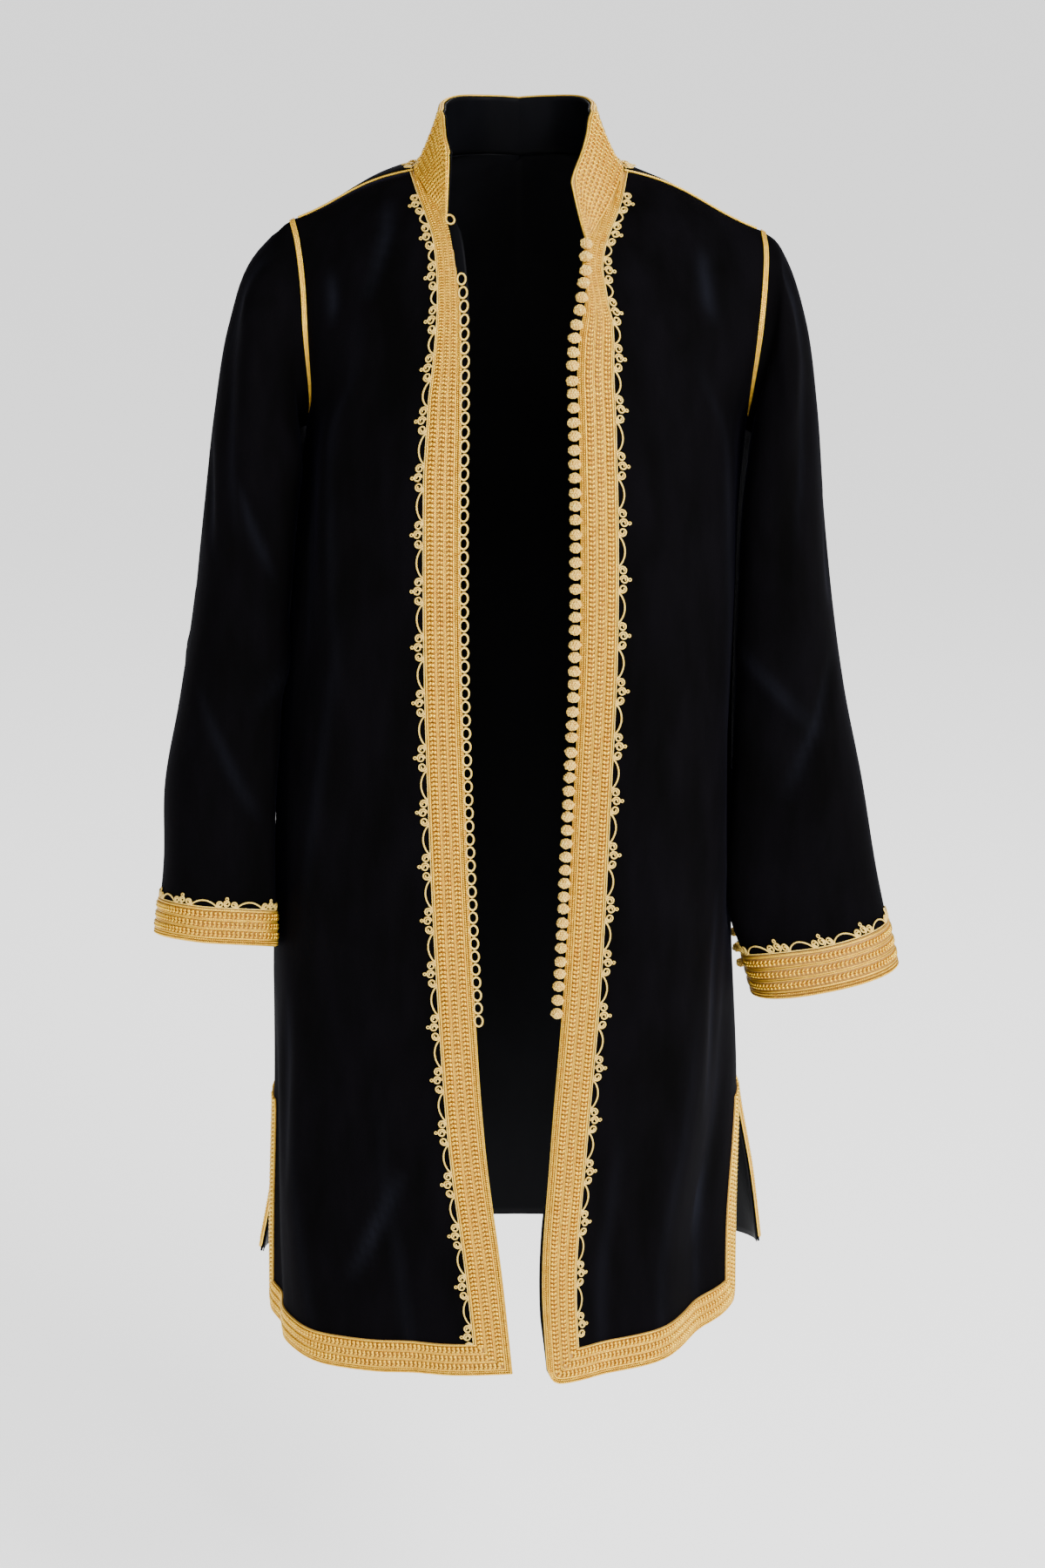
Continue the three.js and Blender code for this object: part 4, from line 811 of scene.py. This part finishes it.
parts = node("ShaderNodeSeparateXYZ", Vector=corner["kept"])
way = node("ShaderNodeCombineXYZ", X=parts["X"], Y=parts["Y"], Z=run["kept"])
kept = node("GeometryNodeStoreNamedAttribute", [("data_type", "FLOAT_VECTOR")],
            Geometry=sweep.outputs["Mesh"], Name="way", Value=way["Vector"])
finish(kept["Geometry"])

# One small rounded stitch or bead on each point of its input, turned to "along" and "up" and sized by "size"
stitch_tree, node, given, finish = geometry_tree("stitches on points", "Rings")
bead = node("GeometryNodeMeshUVSphere", Segments=5, Rings=given["Rings"], Radius=1.0)
turned = node("FunctionNodeAxesToRotation", [("primary_axis", "Z"), ("secondary_axis", "X")],
              Primary_Axis=named(node, "up"), Secondary_Axis=named(node, "along"))
placed = node("GeometryNodeInstanceOnPoints", Points=given["Lines"], Instance=bead["Mesh"],
              Rotation=turned["Rotation"], Scale=named(node, "size"))
finish(placed["Instances"])


def line_mesh(name, points, edges, **attributes):
    """Points in mm, joined by edges, with a number or a direction at each point."""
    mesh = bpy.data.meshes.new(name)
    mesh.from_pydata((points * MM).tolist(), np.asarray(edges).tolist(), [])
    for label, values in attributes.items():
        kind, held = ("FLOAT", "value") if values.ndim == 1 else ("FLOAT_VECTOR", "vector")
        mesh.attributes.new(label, kind, "POINT").data.foreach_set(held, values.ravel())
    return new_object(name, mesh)


def through_tree(piece, tree, **values):
    """Runs the tree on the piece and keeps what it makes as a plain mesh."""
    modifier = piece.modifiers.new("made", "NODES")
    modifier.node_group = tree
    for item in tree.interface.items_tree:
        if item.in_out == "INPUT" and item.name in values:
            modifier[item.identifier] = values[item.name]
    return plain(piece)


def plain(piece):
    """Keeps the piece's evaluated mesh, without its modifiers."""
    seen = piece.evaluated_get(bpy.context.evaluated_depsgraph_get())
    mesh = bpy.data.meshes.new_from_object(seen)
    piece.modifiers.clear()
    piece.data = mesh
    return piece


class Trimming:
    """Cords and stitches that are sewn on together, gathered before they are made into one piece."""

    def __init__(self):
        self.cords, self.stitches, self.ribbons = [], [], []

    def cord(self, points, thick, closed=False):
        self.cords.append((np.asarray(points), thick, closed))

    def stitch(self, points, along, up, size):
        self.stitches.append([np.asarray(x, float) for x in (points, along, up, size)])

    def made(self, name, cord_finish, stitch_finish=None, ground_finish=None, sides=5, rings=4):
        """One piece of all that was gathered."""
        parts = []
        if self.cords:
            points = np.concatenate([cord[0] for cord in self.cords])
            edges, thick, start = [], [], 0
            for line, width, closed in self.cords:
                ids = np.arange(start, start + len(line))
                edges.append(np.stack([ids[:-1], ids[1:]], axis=1))
                if closed:
                    edges.append([[ids[-1], ids[0]]])
                thick.append(np.full(len(line), 1.0) * width * MM)
                start += len(line)
            lines = line_mesh(name, points, np.concatenate(edges), thick=np.concatenate(thick))
            parts.append(through_tree(lines, cord_tree, Sides=sides, Finish=cord_finish))
        if self.stitches:
            points, along, up, size = (np.concatenate([s[k] for s in self.stitches]) for k in range(4))
            shade = np.random.default_rng(7).uniform(-1, 1, len(points))
            spots = line_mesh(name, points, [], shade=shade, along=along, up=up, size=size * MM)
            parts.append(through_tree(spots, stitch_tree, Rings=rings, Finish=stitch_finish))
        parts += [ribbon(name, grid, ground_finish) for grid in self.ribbons]
        if len(parts) > 1:
            with bpy.context.temp_override(active_object=parts[0], selected_editable_objects=parts):
                bpy.ops.object.join()
        parts[0].name = parts[0].data.name = name
        for label in ("along", "up", "size", "thick"):
            held = parts[0].data.attributes.get(label)
            if held:
                parts[0].data.attributes.remove(held)
        return parts[0]


def ribbon(name, grid, finish):
    """A thin flat ribbon through lines of points, which lie in the middle of its thickness."""
    rows, columns = grid.shape[:2]
    faces = [(r * columns + c, r * columns + c + 1, (r + 1) * columns + c + 1, (r + 1) * columns + c)
             for r in range(rows - 1) for c in range(columns - 1)]
    mesh = bpy.data.meshes.new(name)
    mesh.from_pydata((grid.reshape(-1, 3) * MM).tolist(), [], faces)
    mesh.materials.append(finish)
    mesh.shade_smooth()
    piece = new_object(name, mesh)
    wall = piece.modifiers.new("wall", "SOLIDIFY")
    wall.thickness, wall.offset = GROUND * MM, 0
    return plain(piece)


def run_along(points):
    """How far along a line each of its points lies."""
    return np.concatenate([[0], np.cumsum(np.linalg.norm(np.diff(points, axis=0), axis=1))])


def evenly(points, normals, slim, pitch):
    """Places, with their directions, at an even pitch along a line, and closer where the braid is slimmer."""
    step = np.linalg.norm(np.diff(points, axis=0), axis=1)
    run = np.concatenate([[0], np.cumsum(step / ((slim[1:] + slim[:-1]) / 2))])
    count = max(1, round(run[-1] / pitch))
    stops = (np.arange(count) + 0.5) * run[-1] / count

    def pick(values):
        return np.stack([np.interp(stops, run, column) for column in values.T], axis=1)

    ahead, up = unit(pick(np.gradient(points, axis=0))), unit(pick(normals))
    return pick(points), ahead, np.cross(up, ahead), up, pick(slim[:, None])


def sew_row(trimming, kind, width, points, normals, slim, chevron):
    """One row of the braid along a line on the ground: beads, a cord or a chevron plait."""
    if kind == "plait":
        at, ahead, across, up, slim = evenly(points, normals, slim, CHEVRON_PITCH)
        for side in (-1, 1):
            trimming.stitch(at + (across * side * width * STITCH_OUT + up * STITCH_LIFT) * slim,
                            ahead * STITCH_LEAN[0] * chevron + across * side * STITCH_LEAN[1], up,
                            np.array([STITCH]) * width * slim)
    elif kind == "beads":
        at, ahead, across, up, slim = evenly(points, normals, slim, BEAD_PITCH)
        trimming.stitch(at + up * BEAD_LIFT * slim,
                        ahead * BEAD_LEAN[0] + across * BEAD_LEAN[1] * chevron, up,
                        np.array([BEAD]) * width * slim)
    else:
        step = max(1, round(CORD_STEP / np.median(np.linalg.norm(np.diff(points, axis=0), axis=1))))
        keep = np.unique(np.concatenate([np.arange(0, len(points), step), [len(points) - 1]]))
        lift = PIPING_LIFT if kind == "piping" else CORD_LIFT
        trimming.cord((points + normals * lift * slim[:, None])[keep], (width * slim)[keep])


def corner(d, radius, steps=8):
    """Height and distance round a corner of the cloth, at a distance from both of its edges."""
    angle = np.linspace(0, math.pi / 2, steps)
    return d + radius * (1 - np.sin(angle)), d + radius * (1 - np.cos(angle))


# The bands are full as far as the breast, then narrow up to the collar and beside it to the shoulder.
# Height over the hem; how far the band's two edges lie from the cloth's front edge
RIGHT_BAND = [
    (750, 0, BAND), (810, 0, 25), (855, 0, 19.5), (890, 0, 15.5), (915, 0, 13), (930, -1.5, 12), (975, -1, 3),
]
LEFT_BAND = [
    (760, 0, BAND), (820, 0.3, 28.3), (852, 3, 29.5), (868, 6, 28.5), (879, 7, 24.5), (905, 4, 17),
    (918, 0, 15), (930, -1.5, 13), (975, -1, 3),
]


def band_edges(cloth, at):
    stations, free, inner = zip(*(RIGHT_BAND if cloth is front_right else LEFT_BAND))
    return np.interp(at, stations, free), np.interp(at, stations, inner)


GROUND_LINES = (0.2, 7, 14, 21, 27.6)   # distances from the free edge
SLIMMEST = 0.6   # of the rows, where the band draws in: past that, the rows beside the free edge turn under
LOWEST_END, ROW_FADE = 740, 12   # no row ends below that height; how many points it takes to swell
DOWN_POINTS, HEM_POINTS, VENT_POINTS = 620, 130, 90
# How round the rows go at the lower corners, by their distance from the band's inner edge
VENT_ROUNDING, FRONT_ROUNDING = 0.35, (0.0, 0.15)


def front_line(cloth, d, rounding, lift, slimmest=SLIMMEST):
    """A line at a distance from the front edge, the hem and the vent: down, along and up again."""
    high, near = corner(d, (BAND - d) * rounding)
    reach = np.linspace(SHOULDER_ROW - 1, LOWEST_END, 500)
    free, inner = band_edges(cloth, reach)
    shown = inner - (BAND - d) * np.maximum(slimmest, (inner - free) / BAND) > free - 0.2
    down = np.linspace(reach[np.argmax(shown)], high[0], DOWN_POINTS, endpoint=False)
    free, inner = band_edges(cloth, down)
    slim = np.maximum(slimmest, (inner - free) / BAND)
    up_high, up_near = corner(d, (BAND - d) * VENT_ROUNDING)
    along = np.linspace(near[-1], cloth.width(d) - up_near[-1], HEM_POINTS)[1:-1]
    up = np.concatenate([up_high[::-1], np.linspace(up_high[0], VENT_HEIGHT, VENT_POINTS)[1:]])
    from_vent = np.concatenate([up_near[::-1], np.full(VENT_POINTS - 1, d, float)])
    at = np.concatenate([down, high, np.full(len(along), d, float), up])
    distance = np.concatenate([inner - (BAND - d) * slim, near, along, cloth.width(up) - from_vent])
    swell = np.clip(np.arange(DOWN_POINTS) / ROW_FADE + 0.3, 0, 1)
    slim = np.concatenate([slim * swell, np.ones(len(at) - DOWN_POINTS)])
    return *cloth.place(at, distance, lift * slim), slim


def back_line(d, lift):
    """The same line on the back: down one vent, along the hem and up the other vent."""
    high, near = corner(d, (BAND - d) * VENT_ROUNDING)
    down = np.concatenate([np.linspace(VENT_HEIGHT, high[0], VENT_POINTS)[:-1], high])
    from_vent = np.concatenate([np.full(VENT_POINTS - 1, d, float), near])
    sides = []
    for cloth in (back_right, back_left):
        along = np.linspace(cloth.width(d) - near[-1], 0, HEM_POINTS)[1:]
        distance = np.concatenate([cloth.width(down) - from_vent, along])
        sides.append(cloth.place(np.concatenate([down, np.full(len(along), d, float)]), distance, lift))
    points, normals = (np.concatenate([sides[0][k], sides[1][k][::-1][1:]]) for k in (0, 1))
    return points, normals, np.ones(len(points))


def cuff_line(cloth, d, lift):
    """A line round a sleeve at a distance from its lower edge, from one side of the slit to the other."""
    share = np.linspace(0.002, 1 - 0.002, HEM_POINTS)
    at = np.full(HEM_POINTS, SLEEVE_LENGTH - d, float)
    return *cloth.place(at, share * cloth.width(at), lift), np.ones(HEM_POINTS)


# Two effects that the gold materials share: the twist of a cord from its way round and along, and the
# unevenness of hand-made thread
thread = effect_group("thread", "Twist", "Uneven")
thread.interface.new_socket("Turns", in_out="INPUT", socket_type="NodeSocketFloat")
round_and_along = add_node(thread, "ShaderNodeSeparateXYZ", Vector=attribute(thread, "way", "Vector")).outputs
round_cord = maths(thread, "ARCTAN2", round_and_along["Y"], round_and_along["X"])
turn = maths(thread, "MULTIPLY", round_and_along["Z"], add_node(thread, "NodeGroupInput").outputs["Turns"])
wave = maths(thread, "SINE", maths(thread, "ADD", maths(thread, "MULTIPLY", turn, 1000.0),
                                  maths(thread, "MULTIPLY", round_cord, 2.0)))
add_node(thread, "NodeGroupOutput", Uneven=noise(thread, scale=260, detail=2),
         Twist=maths(thread, "ADD", maths(thread, "MULTIPLY", wave, 0.5), 0.5))


def gold_thread(name, dark, light, rough, metal, turns):
    material, tree, shader = new_material(name, Roughness=rough, Metallic=metal, Specular_IOR_Level=0.1)
    spun = add_node(tree, "ShaderNodeGroup", [("node_tree", thread)], Turns=turns).outputs
    shade = maths(tree, "MULTIPLY", attribute(tree, "shade"), 0.12)
    uneven = maths(tree, "MULTIPLY", maths(tree, "ADD", spun["Uneven"], shade), 0.65)
    mask = maths(tree, "ADD", maths(tree, "MULTIPLY", spun["Twist"], 0.35), uneven)
    feed(tree, shader, Base_Color=blend_colour(tree, mask, dark, light, low=0.25, high=0.75),
         Normal=bump(tree, spun["Twist"], strength=0.5, depth=0.0004))
    return material


plait_gold = gold_thread("plaited gold", dark=(0.64, 0.3, 0.018), light=(1.0, 0.67, 0.05),
                         rough=0.3, metal=0.85, turns=3.5)
cord_gold = gold_thread("gold cord", dark=(0.74, 0.38, 0.025), light=(1.0, 0.68, 0.07),
                        rough=0.36, metal=0.7, turns=3.5)
cream = gold_thread("pale gold cord", dark=(0.78, 0.46, 0.06), light=(1.0, 0.76, 0.22),
                    rough=0.45, metal=0.35, turns=2.6)
ground, tree, shader = new_material("gold ground", Roughness=0.7, Metallic=0.1)
uneven = noise(tree, scale=700, detail=2)
feed(tree, shader, Base_Color=blend_colour(tree, uneven, (0.32, 0.16, 0.025), (0.5, 0.28, 0.055)))


def sew_band(side, line, chevron=1, ground_line=None, rings=3):
    """A whole band: all its rows along the lines that "line" gives, on a ribbon of ground."""
    trimming = Trimming()
    for kind, d, width in BRAID_ROWS:
        sew_row(trimming, kind, width, *line(d, ON_CLOTH + GROUND), chevron)
    grid = [(ground_line or line)(d, ON_CLOTH + GROUND / 2)[0][::2] for d in GROUND_LINES]
    trimming.ribbons.append(np.stack(grid))
    braid = trimming.made(f"braid_{side}", cord_gold, plait_gold, ground, rings=rings)
    declare(braid, f"band_{side}")


for (side, front, _), rounding, chevron in zip(SIDES, FRONT_ROUNDING, (1, -1)):
    sew_band(f"front_{side}", lambda d, lift: front_line(front, d, rounding, lift), chevron,
             lambda d, lift: front_line(front, d, rounding, lift, 0), rings=4)
sew_band("back", back_line)
for side, _, sleeve in SIDES:
    sew_band(f"cuff_{side}", lambda d, lift: cuff_line(sleeve, d, lift))

# ---- The collar's braid --------------------------------------------
# The rows of the front bands draw together at the foot of the collar and fan out over it: eight plaits with
# pairs of fine cords between them run round the neck, edged all round with a plain cord.
COLLAR_PLAITS, COLLAR_PLAIT, COLLAR_CORD = 8, 4.2, 1.7   # how many, and their widths
FINE_CORD, FINE_CORD_APART, RIM_CORD = 1.0, 0.011, 1.9
foot_run = run_along(collar_rows[0])


def on_collar(step, up, lift):
    at = up * COLLAR_HEIGHT
    share = np.interp(step, np.linspace(0, ALL_STEPS, COLLAR_COLUMNS), foot_run / foot_run[-1])
    return collar.place(at, share * collar.width(at), lift)


def collar_line(level, start=0.0):
    """A line at a level of the collar, from 0, its foot, to 1: it climbs there from the foot at both ends."""
    near = start + (BACK_STEP - start) * np.linspace(0, 1, 130) ** 1.7
    step = np.concatenate([near, ALL_STEPS - near[::-1][1:]])
    climb = 1 - np.exp(-np.minimum(step, ALL_STEPS - step) / (0.9 - 0.8 * level ** 0.8))
    slim = np.clip(climb + 0.25, 0.55, 1)
    return *on_collar(step, level * climb, (ON_CLOTH + GROUND) * slim), slim


trimming = Trimming()
for row in range(COLLAR_PLAITS):
    level = (row + 0.5) / COLLAR_PLAITS
    sew_row(trimming, "plait", COLLAR_PLAIT, *collar_line(level, 0.0 if row % 2 else 0.45), 1)
    for off in (-FINE_CORD_APART, FINE_CORD_APART) if row else ():
        sew_row(trimming, "cord", FINE_CORD, *collar_line(row / COLLAR_PLAITS + off, 0.3), 1)
for level in (0.02, 0.985):
    sew_row(trimming, "cord", COLLAR_CORD, *collar_line(level), 1)
rim = np.concatenate([np.stack([np.zeros(14), np.linspace(0, 1, 14)]),
                      np.stack([np.linspace(0.1, ALL_STEPS - 0.1, 150), np.ones(150)]),
                      np.stack([np.full(14, ALL_STEPS, float), np.linspace(1, 0, 14)])], axis=1)
trimming.cord(on_collar(rim[0], rim[1], -0.5)[0], RIM_CORD)
around = np.linspace(0.01, ALL_STEPS - 0.01, 170)
trimming.ribbons.append(np.stack([on_collar(around, level, ON_CLOTH + GROUND / 2)[0]
                                  for level in (0.005, 0.17, 0.33, 0.5, 0.67, 0.83, 0.995)]))
declare(trimming.made("braid_collar", cord_gold, plait_gold, ground), "band_collar")

# ---- The looped edging ---------------------------------------------
# One pale cord is coiled by hand along the band's inner edge: rosettes of three small coils, the middle
# one with a ring on its tip, and a bow of cord between each two rosettes.
EDGING_CORD, FOOT_CORD = 1.4, 1.1
COIL, COIL_EYE, COIL_TURNS, COIL_PITCH, COIL_OUT, MIDDLE_COIL_OUT = 3.3, 0.8, 1.6, 7.2, 4.0, 1.1
RING, RING_OUT = 1.1, 9.8
BOW_START, BOW_FOOT, BOW_HEIGHT = 10.4, 0.9, 4.9
FRONT_SPOTS, CUFF_SPOTS, NECK_SPOTS = (32, 44.6), 36, 41.5   # from rosette to rosette
LOWEST_SPOTS, LAST_SPOT = (6, 19), 50   # from the border's foot on each front, and from its top


class Border:
    """The border that a trimming follows; it gives a place by how far along it and how far out it is."""

    def __init__(self, cloth, at, distance, out=(0, 1)):
        self.cloth, self.at, self.out = cloth, at, out
        self.share = distance / cloth.width(at)
        self.run = run_along(cloth.place(at, distance)[0])

    def place(self, along, out, lift):
        at = np.interp(along, self.run, self.at)
        distance = np.interp(along, self.run, self.share) * self.cloth.width(at)
        return self.cloth.place(at + out * self.out[0], distance + out * self.out[1], lift)


def sew_edging(trimming, place, spots, start, end, size=1.0):
    """Rosettes at the spots with bows between them, from the start to the end of a border."""
    turn = np.linspace(0, 1, 30)
    radius = (COIL - (COIL - COIL_EYE) * turn ** 1.4) * size
    ring = np.linspace(0, 2 * math.pi, 11)[:-1]
    for spot in spots:
        for k in (-1, 0, 1):
            angle = -math.pi / 2 + (1 if k >= 0 else -1) * turn * COIL_TURNS * 2 * math.pi
            along = spot + COIL_PITCH * size * k + radius * np.cos(angle)
            out = (COIL_OUT + MIDDLE_COIL_OUT * (k == 0)) * size + radius * np.sin(angle)
            trimming.cord(place(along, out, 1.0 + 0.5 * turn)[0], EDGING_CORD)
        ring_out = RING_OUT * size + RING * np.sin(ring)
        trimming.cord(place(spot + RING * np.cos(ring), ring_out, 0.9)[0], FOOT_CORD, closed=True)
    t = np.linspace(0, 1, 15)
    for low, high in zip(spots, spots[1:]):
        along = low + BOW_START * size + (high - low - 2 * BOW_START * size) * t
        trimming.cord(place(along, BOW_FOOT + BOW_HEIGHT * np.sin(math.pi * t) ** 0.7, 1.0)[0], EDGING_CORD)
    foot = np.arange(start, end, 3.0)
    trimming.cord(place(foot, 0.5 + 0 * foot, 0.8)[0], FOOT_CORD)


def even_spots(length, pitch, first=14):
    count = round((length - 2 * first) / pitch)
    return np.linspace(first, length - first, count + 1)


def front_spots(length, first):
    """They sit closer together towards the neck."""
    spots = [first]
    while length - spots[-1] > LAST_SPOT:
        spots.append(spots[-1] + np.interp(length - spots[-1], [120, 260], FRONT_SPOTS))
    return spots


def edging_piece(side, place, spots, start, end, size=1.0):
    trimming = Trimming()
    sew_edging(trimming, place, spots, start, end, size)
    declare(trimming.made(f"edging_cord_{side}", cream), f"edging_{side}")


for (side, front, sleeve), first in zip(SIDES, LOWEST_SPOTS):
    at = np.linspace(BAND, SHOULDER_ROW - 0.5, 300)
    border = Border(front, at, band_edges(front, at)[1])
    edging_piece(f"front_{side}", border.place, front_spots(border.run[-1], first), 0, border.run[-1])
    share = np.linspace(0.004, 0.996, 200)
    at = np.full(len(share), SLEEVE_LENGTH - BAND, float)
    border = Border(sleeve, at, share * sleeve.width(at), out=(-1, 0))
    edging_piece(f"cuff_{side}", border.place, even_spots(border.run[-1], CUFF_SPOTS), 0, border.run[-1], 0.8)

# Round the back of the neck it lies on straight rails, square to the neckline
neck = np.linspace(BACK_NECK_ROW + 0.01, SHOULDER_ROW - 0.5, 80)
neck_sides = [cloth.place(neck[::order], 0.0) for cloth, order in ((back_right, -1), (back_left, 1))]
neck_line, neck_up = (np.concatenate([neck_sides[0][k], neck_sides[1][k]]) for k in (0, 1))
neck_run = run_along(neck_line)
neck_out = unit(np.cross(neck_up, np.gradient(neck_line, neck_run, axis=0)))


def behind_neck(along, out, lift):
    line, away, up = (np.stack([np.interp(along, neck_run, net[:, k]) for k in range(3)], axis=-1)
                      for net in (neck_line, neck_out, neck_up))
    out = (np.asarray(out, float) + 3)[..., None]
    return line + away * out + up * (np.asarray(lift)[..., None] + out / 9), up


edging_piece("neck", behind_neck, even_spots(neck_run[-1], NECK_SPOTS), 2, neck_run[-1] - 2)

# ---- Cords on the armholes and shoulders ---------------------------
# Three fine gold cords side by side cover each armhole seam and taper off under the arm, and a single
# cord covers each shoulder seam.
ARMHOLE_CORDS, SHOULDER_CORD = ((0.8, 1.6), (2.5, 1.5), (4.1, 1.5)), 1.8   # place from the seam, thickness
for side, front, sleeve in SIDES:
    share = np.linspace(0.06, 0.94, 150)
    spread = np.clip(np.minimum(share, 1 - share) / 0.26, 0.3, 1)
    trimming = Trimming()
    for d, thick in ARMHOLE_CORDS:
        line = sleeve.place(d * spread, share * sleeve.width(d * spread), 0.9)[0]
        trimming.cord(line, thick * np.clip(spread, 0.55, 1))
    declare(trimming.made(f"cords_armhole_{side}", cord_gold, sides=6), f"braid_armhole_{side}")
    trimming = Trimming()
    distance = np.linspace(1, front.width(SHOULDER_ROW) - 3, 60)
    trimming.cord(front.place(SHOULDER_ROW - 0.4, distance, 1.0)[0], SHOULDER_CORD)
    declare(trimming.made(f"cord_on_shoulder_{side}", cord_gold, sides=7), f"cord_shoulder_{side}")

# ---- Loops and knotted ball buttons --------------------------------
# A close row of ball buttons, each knotted from a beaded cord, stands along the wearer's left front edge;
# a row of oval loops of pale cord answers it on the right. Seven smaller balls close each sleeve slit.
FIRST_BUTTON, BUTTON_PITCH, LOOP_COUNT, BALL_COUNT = 306, 10.8, 56, 58
LOOP_LONG, LOOP_WIDE, LOOP_OUT, LOOP_CORD = 4.4, 3.3, 3.2, 1.6
BALL, STEM = (4.9, 3.9), 2.4   # half across and half along the cord that it is threaded on
CUFF_BALL, CUFF_STEM, CUFF_BALL_COUNT, CUFF_FIRST, CUFF_PITCH = (4.4, 3.8), 1.8, 7, 15, 9.6
GRAINS = [(-68, 5), (-41, 9), (-14, 12), (14, 12), (41, 9), (68, 5)]   # angle from the middle, how many
GRAIN, GRAIN_LEAN, SUNK, CORE = (0.3, 0.19, 0.19), (0.76, 0.65), (0.88, 0.84), 0.86   # shares of the radius
at = np.linspace(0, SHOULDER_ROW, 400)
right_edge, left_edge = (Border(front, at, band_edges(front, at)[0], out=(0, -1)) for _, front, _ in SIDES)

trimming = Trimming()
angle = np.linspace(0, 2 * math.pi, 21)[:-1]
by_neck = np.interp(NECK_ROW + 1, right_edge.at, right_edge.run)
for middle in [*(FIRST_BUTTON + np.arange(LOOP_COUNT) * BUTTON_PITCH), by_neck]:
    line = right_edge.place(middle + LOOP_LONG * np.sin(angle), LOOP_OUT + LOOP_WIDE * np.cos(angle),
                            0.5 - 0.3 * np.cos(angle))
    trimming.cord(line[0], LOOP_CORD, closed=True)
declare(trimming.made("loops", cream, sides=6), "loop_row")


def knot_balls(trimming, centres, ahead, up, across_radius, along_radius):
    """Balls threaded on a cord, each covered with rows of grains that slant one way and the other."""
    ahead = unit(ahead)
    across = unit(np.cross(up, ahead))
    up = np.cross(ahead, across)
    grains = np.random.default_rng(5)
    for row, (slope, count) in enumerate(GRAINS):
        cos, sin = math.cos(math.radians(slope)), math.sin(math.radians(slope))
        for k in range(count):
            turn = 2 * math.pi * (k + 0.5 * (row % 2)) / count
            away = across * math.cos(turn) + up * math.sin(turn)
            round_ball = up * math.cos(turn) - across * math.sin(turn)
            over_ball = unit(ahead * along_radius * cos - away * across_radius * sin)
            slant = GRAIN_LEAN[1] if row % 2 else -GRAIN_LEAN[1]
            uneven = grains.uniform(0.8, 1.25, (len(centres), 1))
            at = (centres + ahead * along_radius * SUNK[0] * sin
                  + away * across_radius * SUNK[1] * cos * uneven ** 0.3)
            trimming.stitch(at, round_ball * GRAIN_LEAN[0] + over_ball * slant * uneven ** 2,
                            np.cross(round_ball, over_ball), np.array([GRAIN]) * uneven * across_radius)
    core = np.tile([along_radius, across_radius, across_radius], (len(centres), 1))
    trimming.stitch(centres, ahead, up, core * CORE)


trimming = Trimming()
middles = FIRST_BUTTON + np.arange(BALL_COUNT) * BUTTON_PITCH
middles += np.random.default_rng(3).uniform(-0.8, 0.8, len(middles))
height = np.interp(middles, left_edge.run, left_edge.at)
lift = 1.2 + np.interp(height, [830, 860, 890, 905], [0, 3, 3.5, 5])
out = np.interp(height, [860, 885, 905], [4.9, 3.5, 0])
centres, up = left_edge.place(middles, out, lift)
ahead = left_edge.place(middles + 2, out, lift)[0] - left_edge.place(middles - 2, out, lift)[0]
knot_balls(trimming, centres, ahead, up, *BALL)
for middle, far, high in zip(middles, out, lift):
    stem = np.linspace(far, -1.0, 5)
    trimming.cord(left_edge.place(middle + 0 * stem, stem, np.linspace(high, 0.5, 5))[0], STEM)
declare(trimming.made("ball_buttons", cord_gold, cream, rings=3), "button_row")

for side, _, sleeve in SIDES:
    trimming = Trimming()
    at = SLEEVE_LENGTH - CUFF_FIRST - CUFF_PITCH * np.arange(CUFF_BALL_COUNT)
    lift = np.interp(at, [535, 575], [3, 8])   # they stand higher where they pass over the band
    centres, up = sleeve.place(at, 0.5, lift)
    knot_balls(trimming, centres, np.gradient(centres, axis=0), up, *CUFF_BALL)
    for here, high in zip(at, lift):
        trimming.cord(sleeve.place(here, 0.5, np.linspace(high, 0.4, 4))[0], CUFF_STEM)
    declare(trimming.made(f"ball_buttons_cuff_{side}", cord_gold, cream, rings=3),
            f"button_row_cuff_{side}")

# ---- The sizes -----------------------------------------------------
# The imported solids' box and the finished coat's box, to set side by side.
boxes = {"packed": packed_box, "visual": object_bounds()}
plain_boxes = {name: [[float(x) for x in side] for side in box] for name, box in boxes.items()}
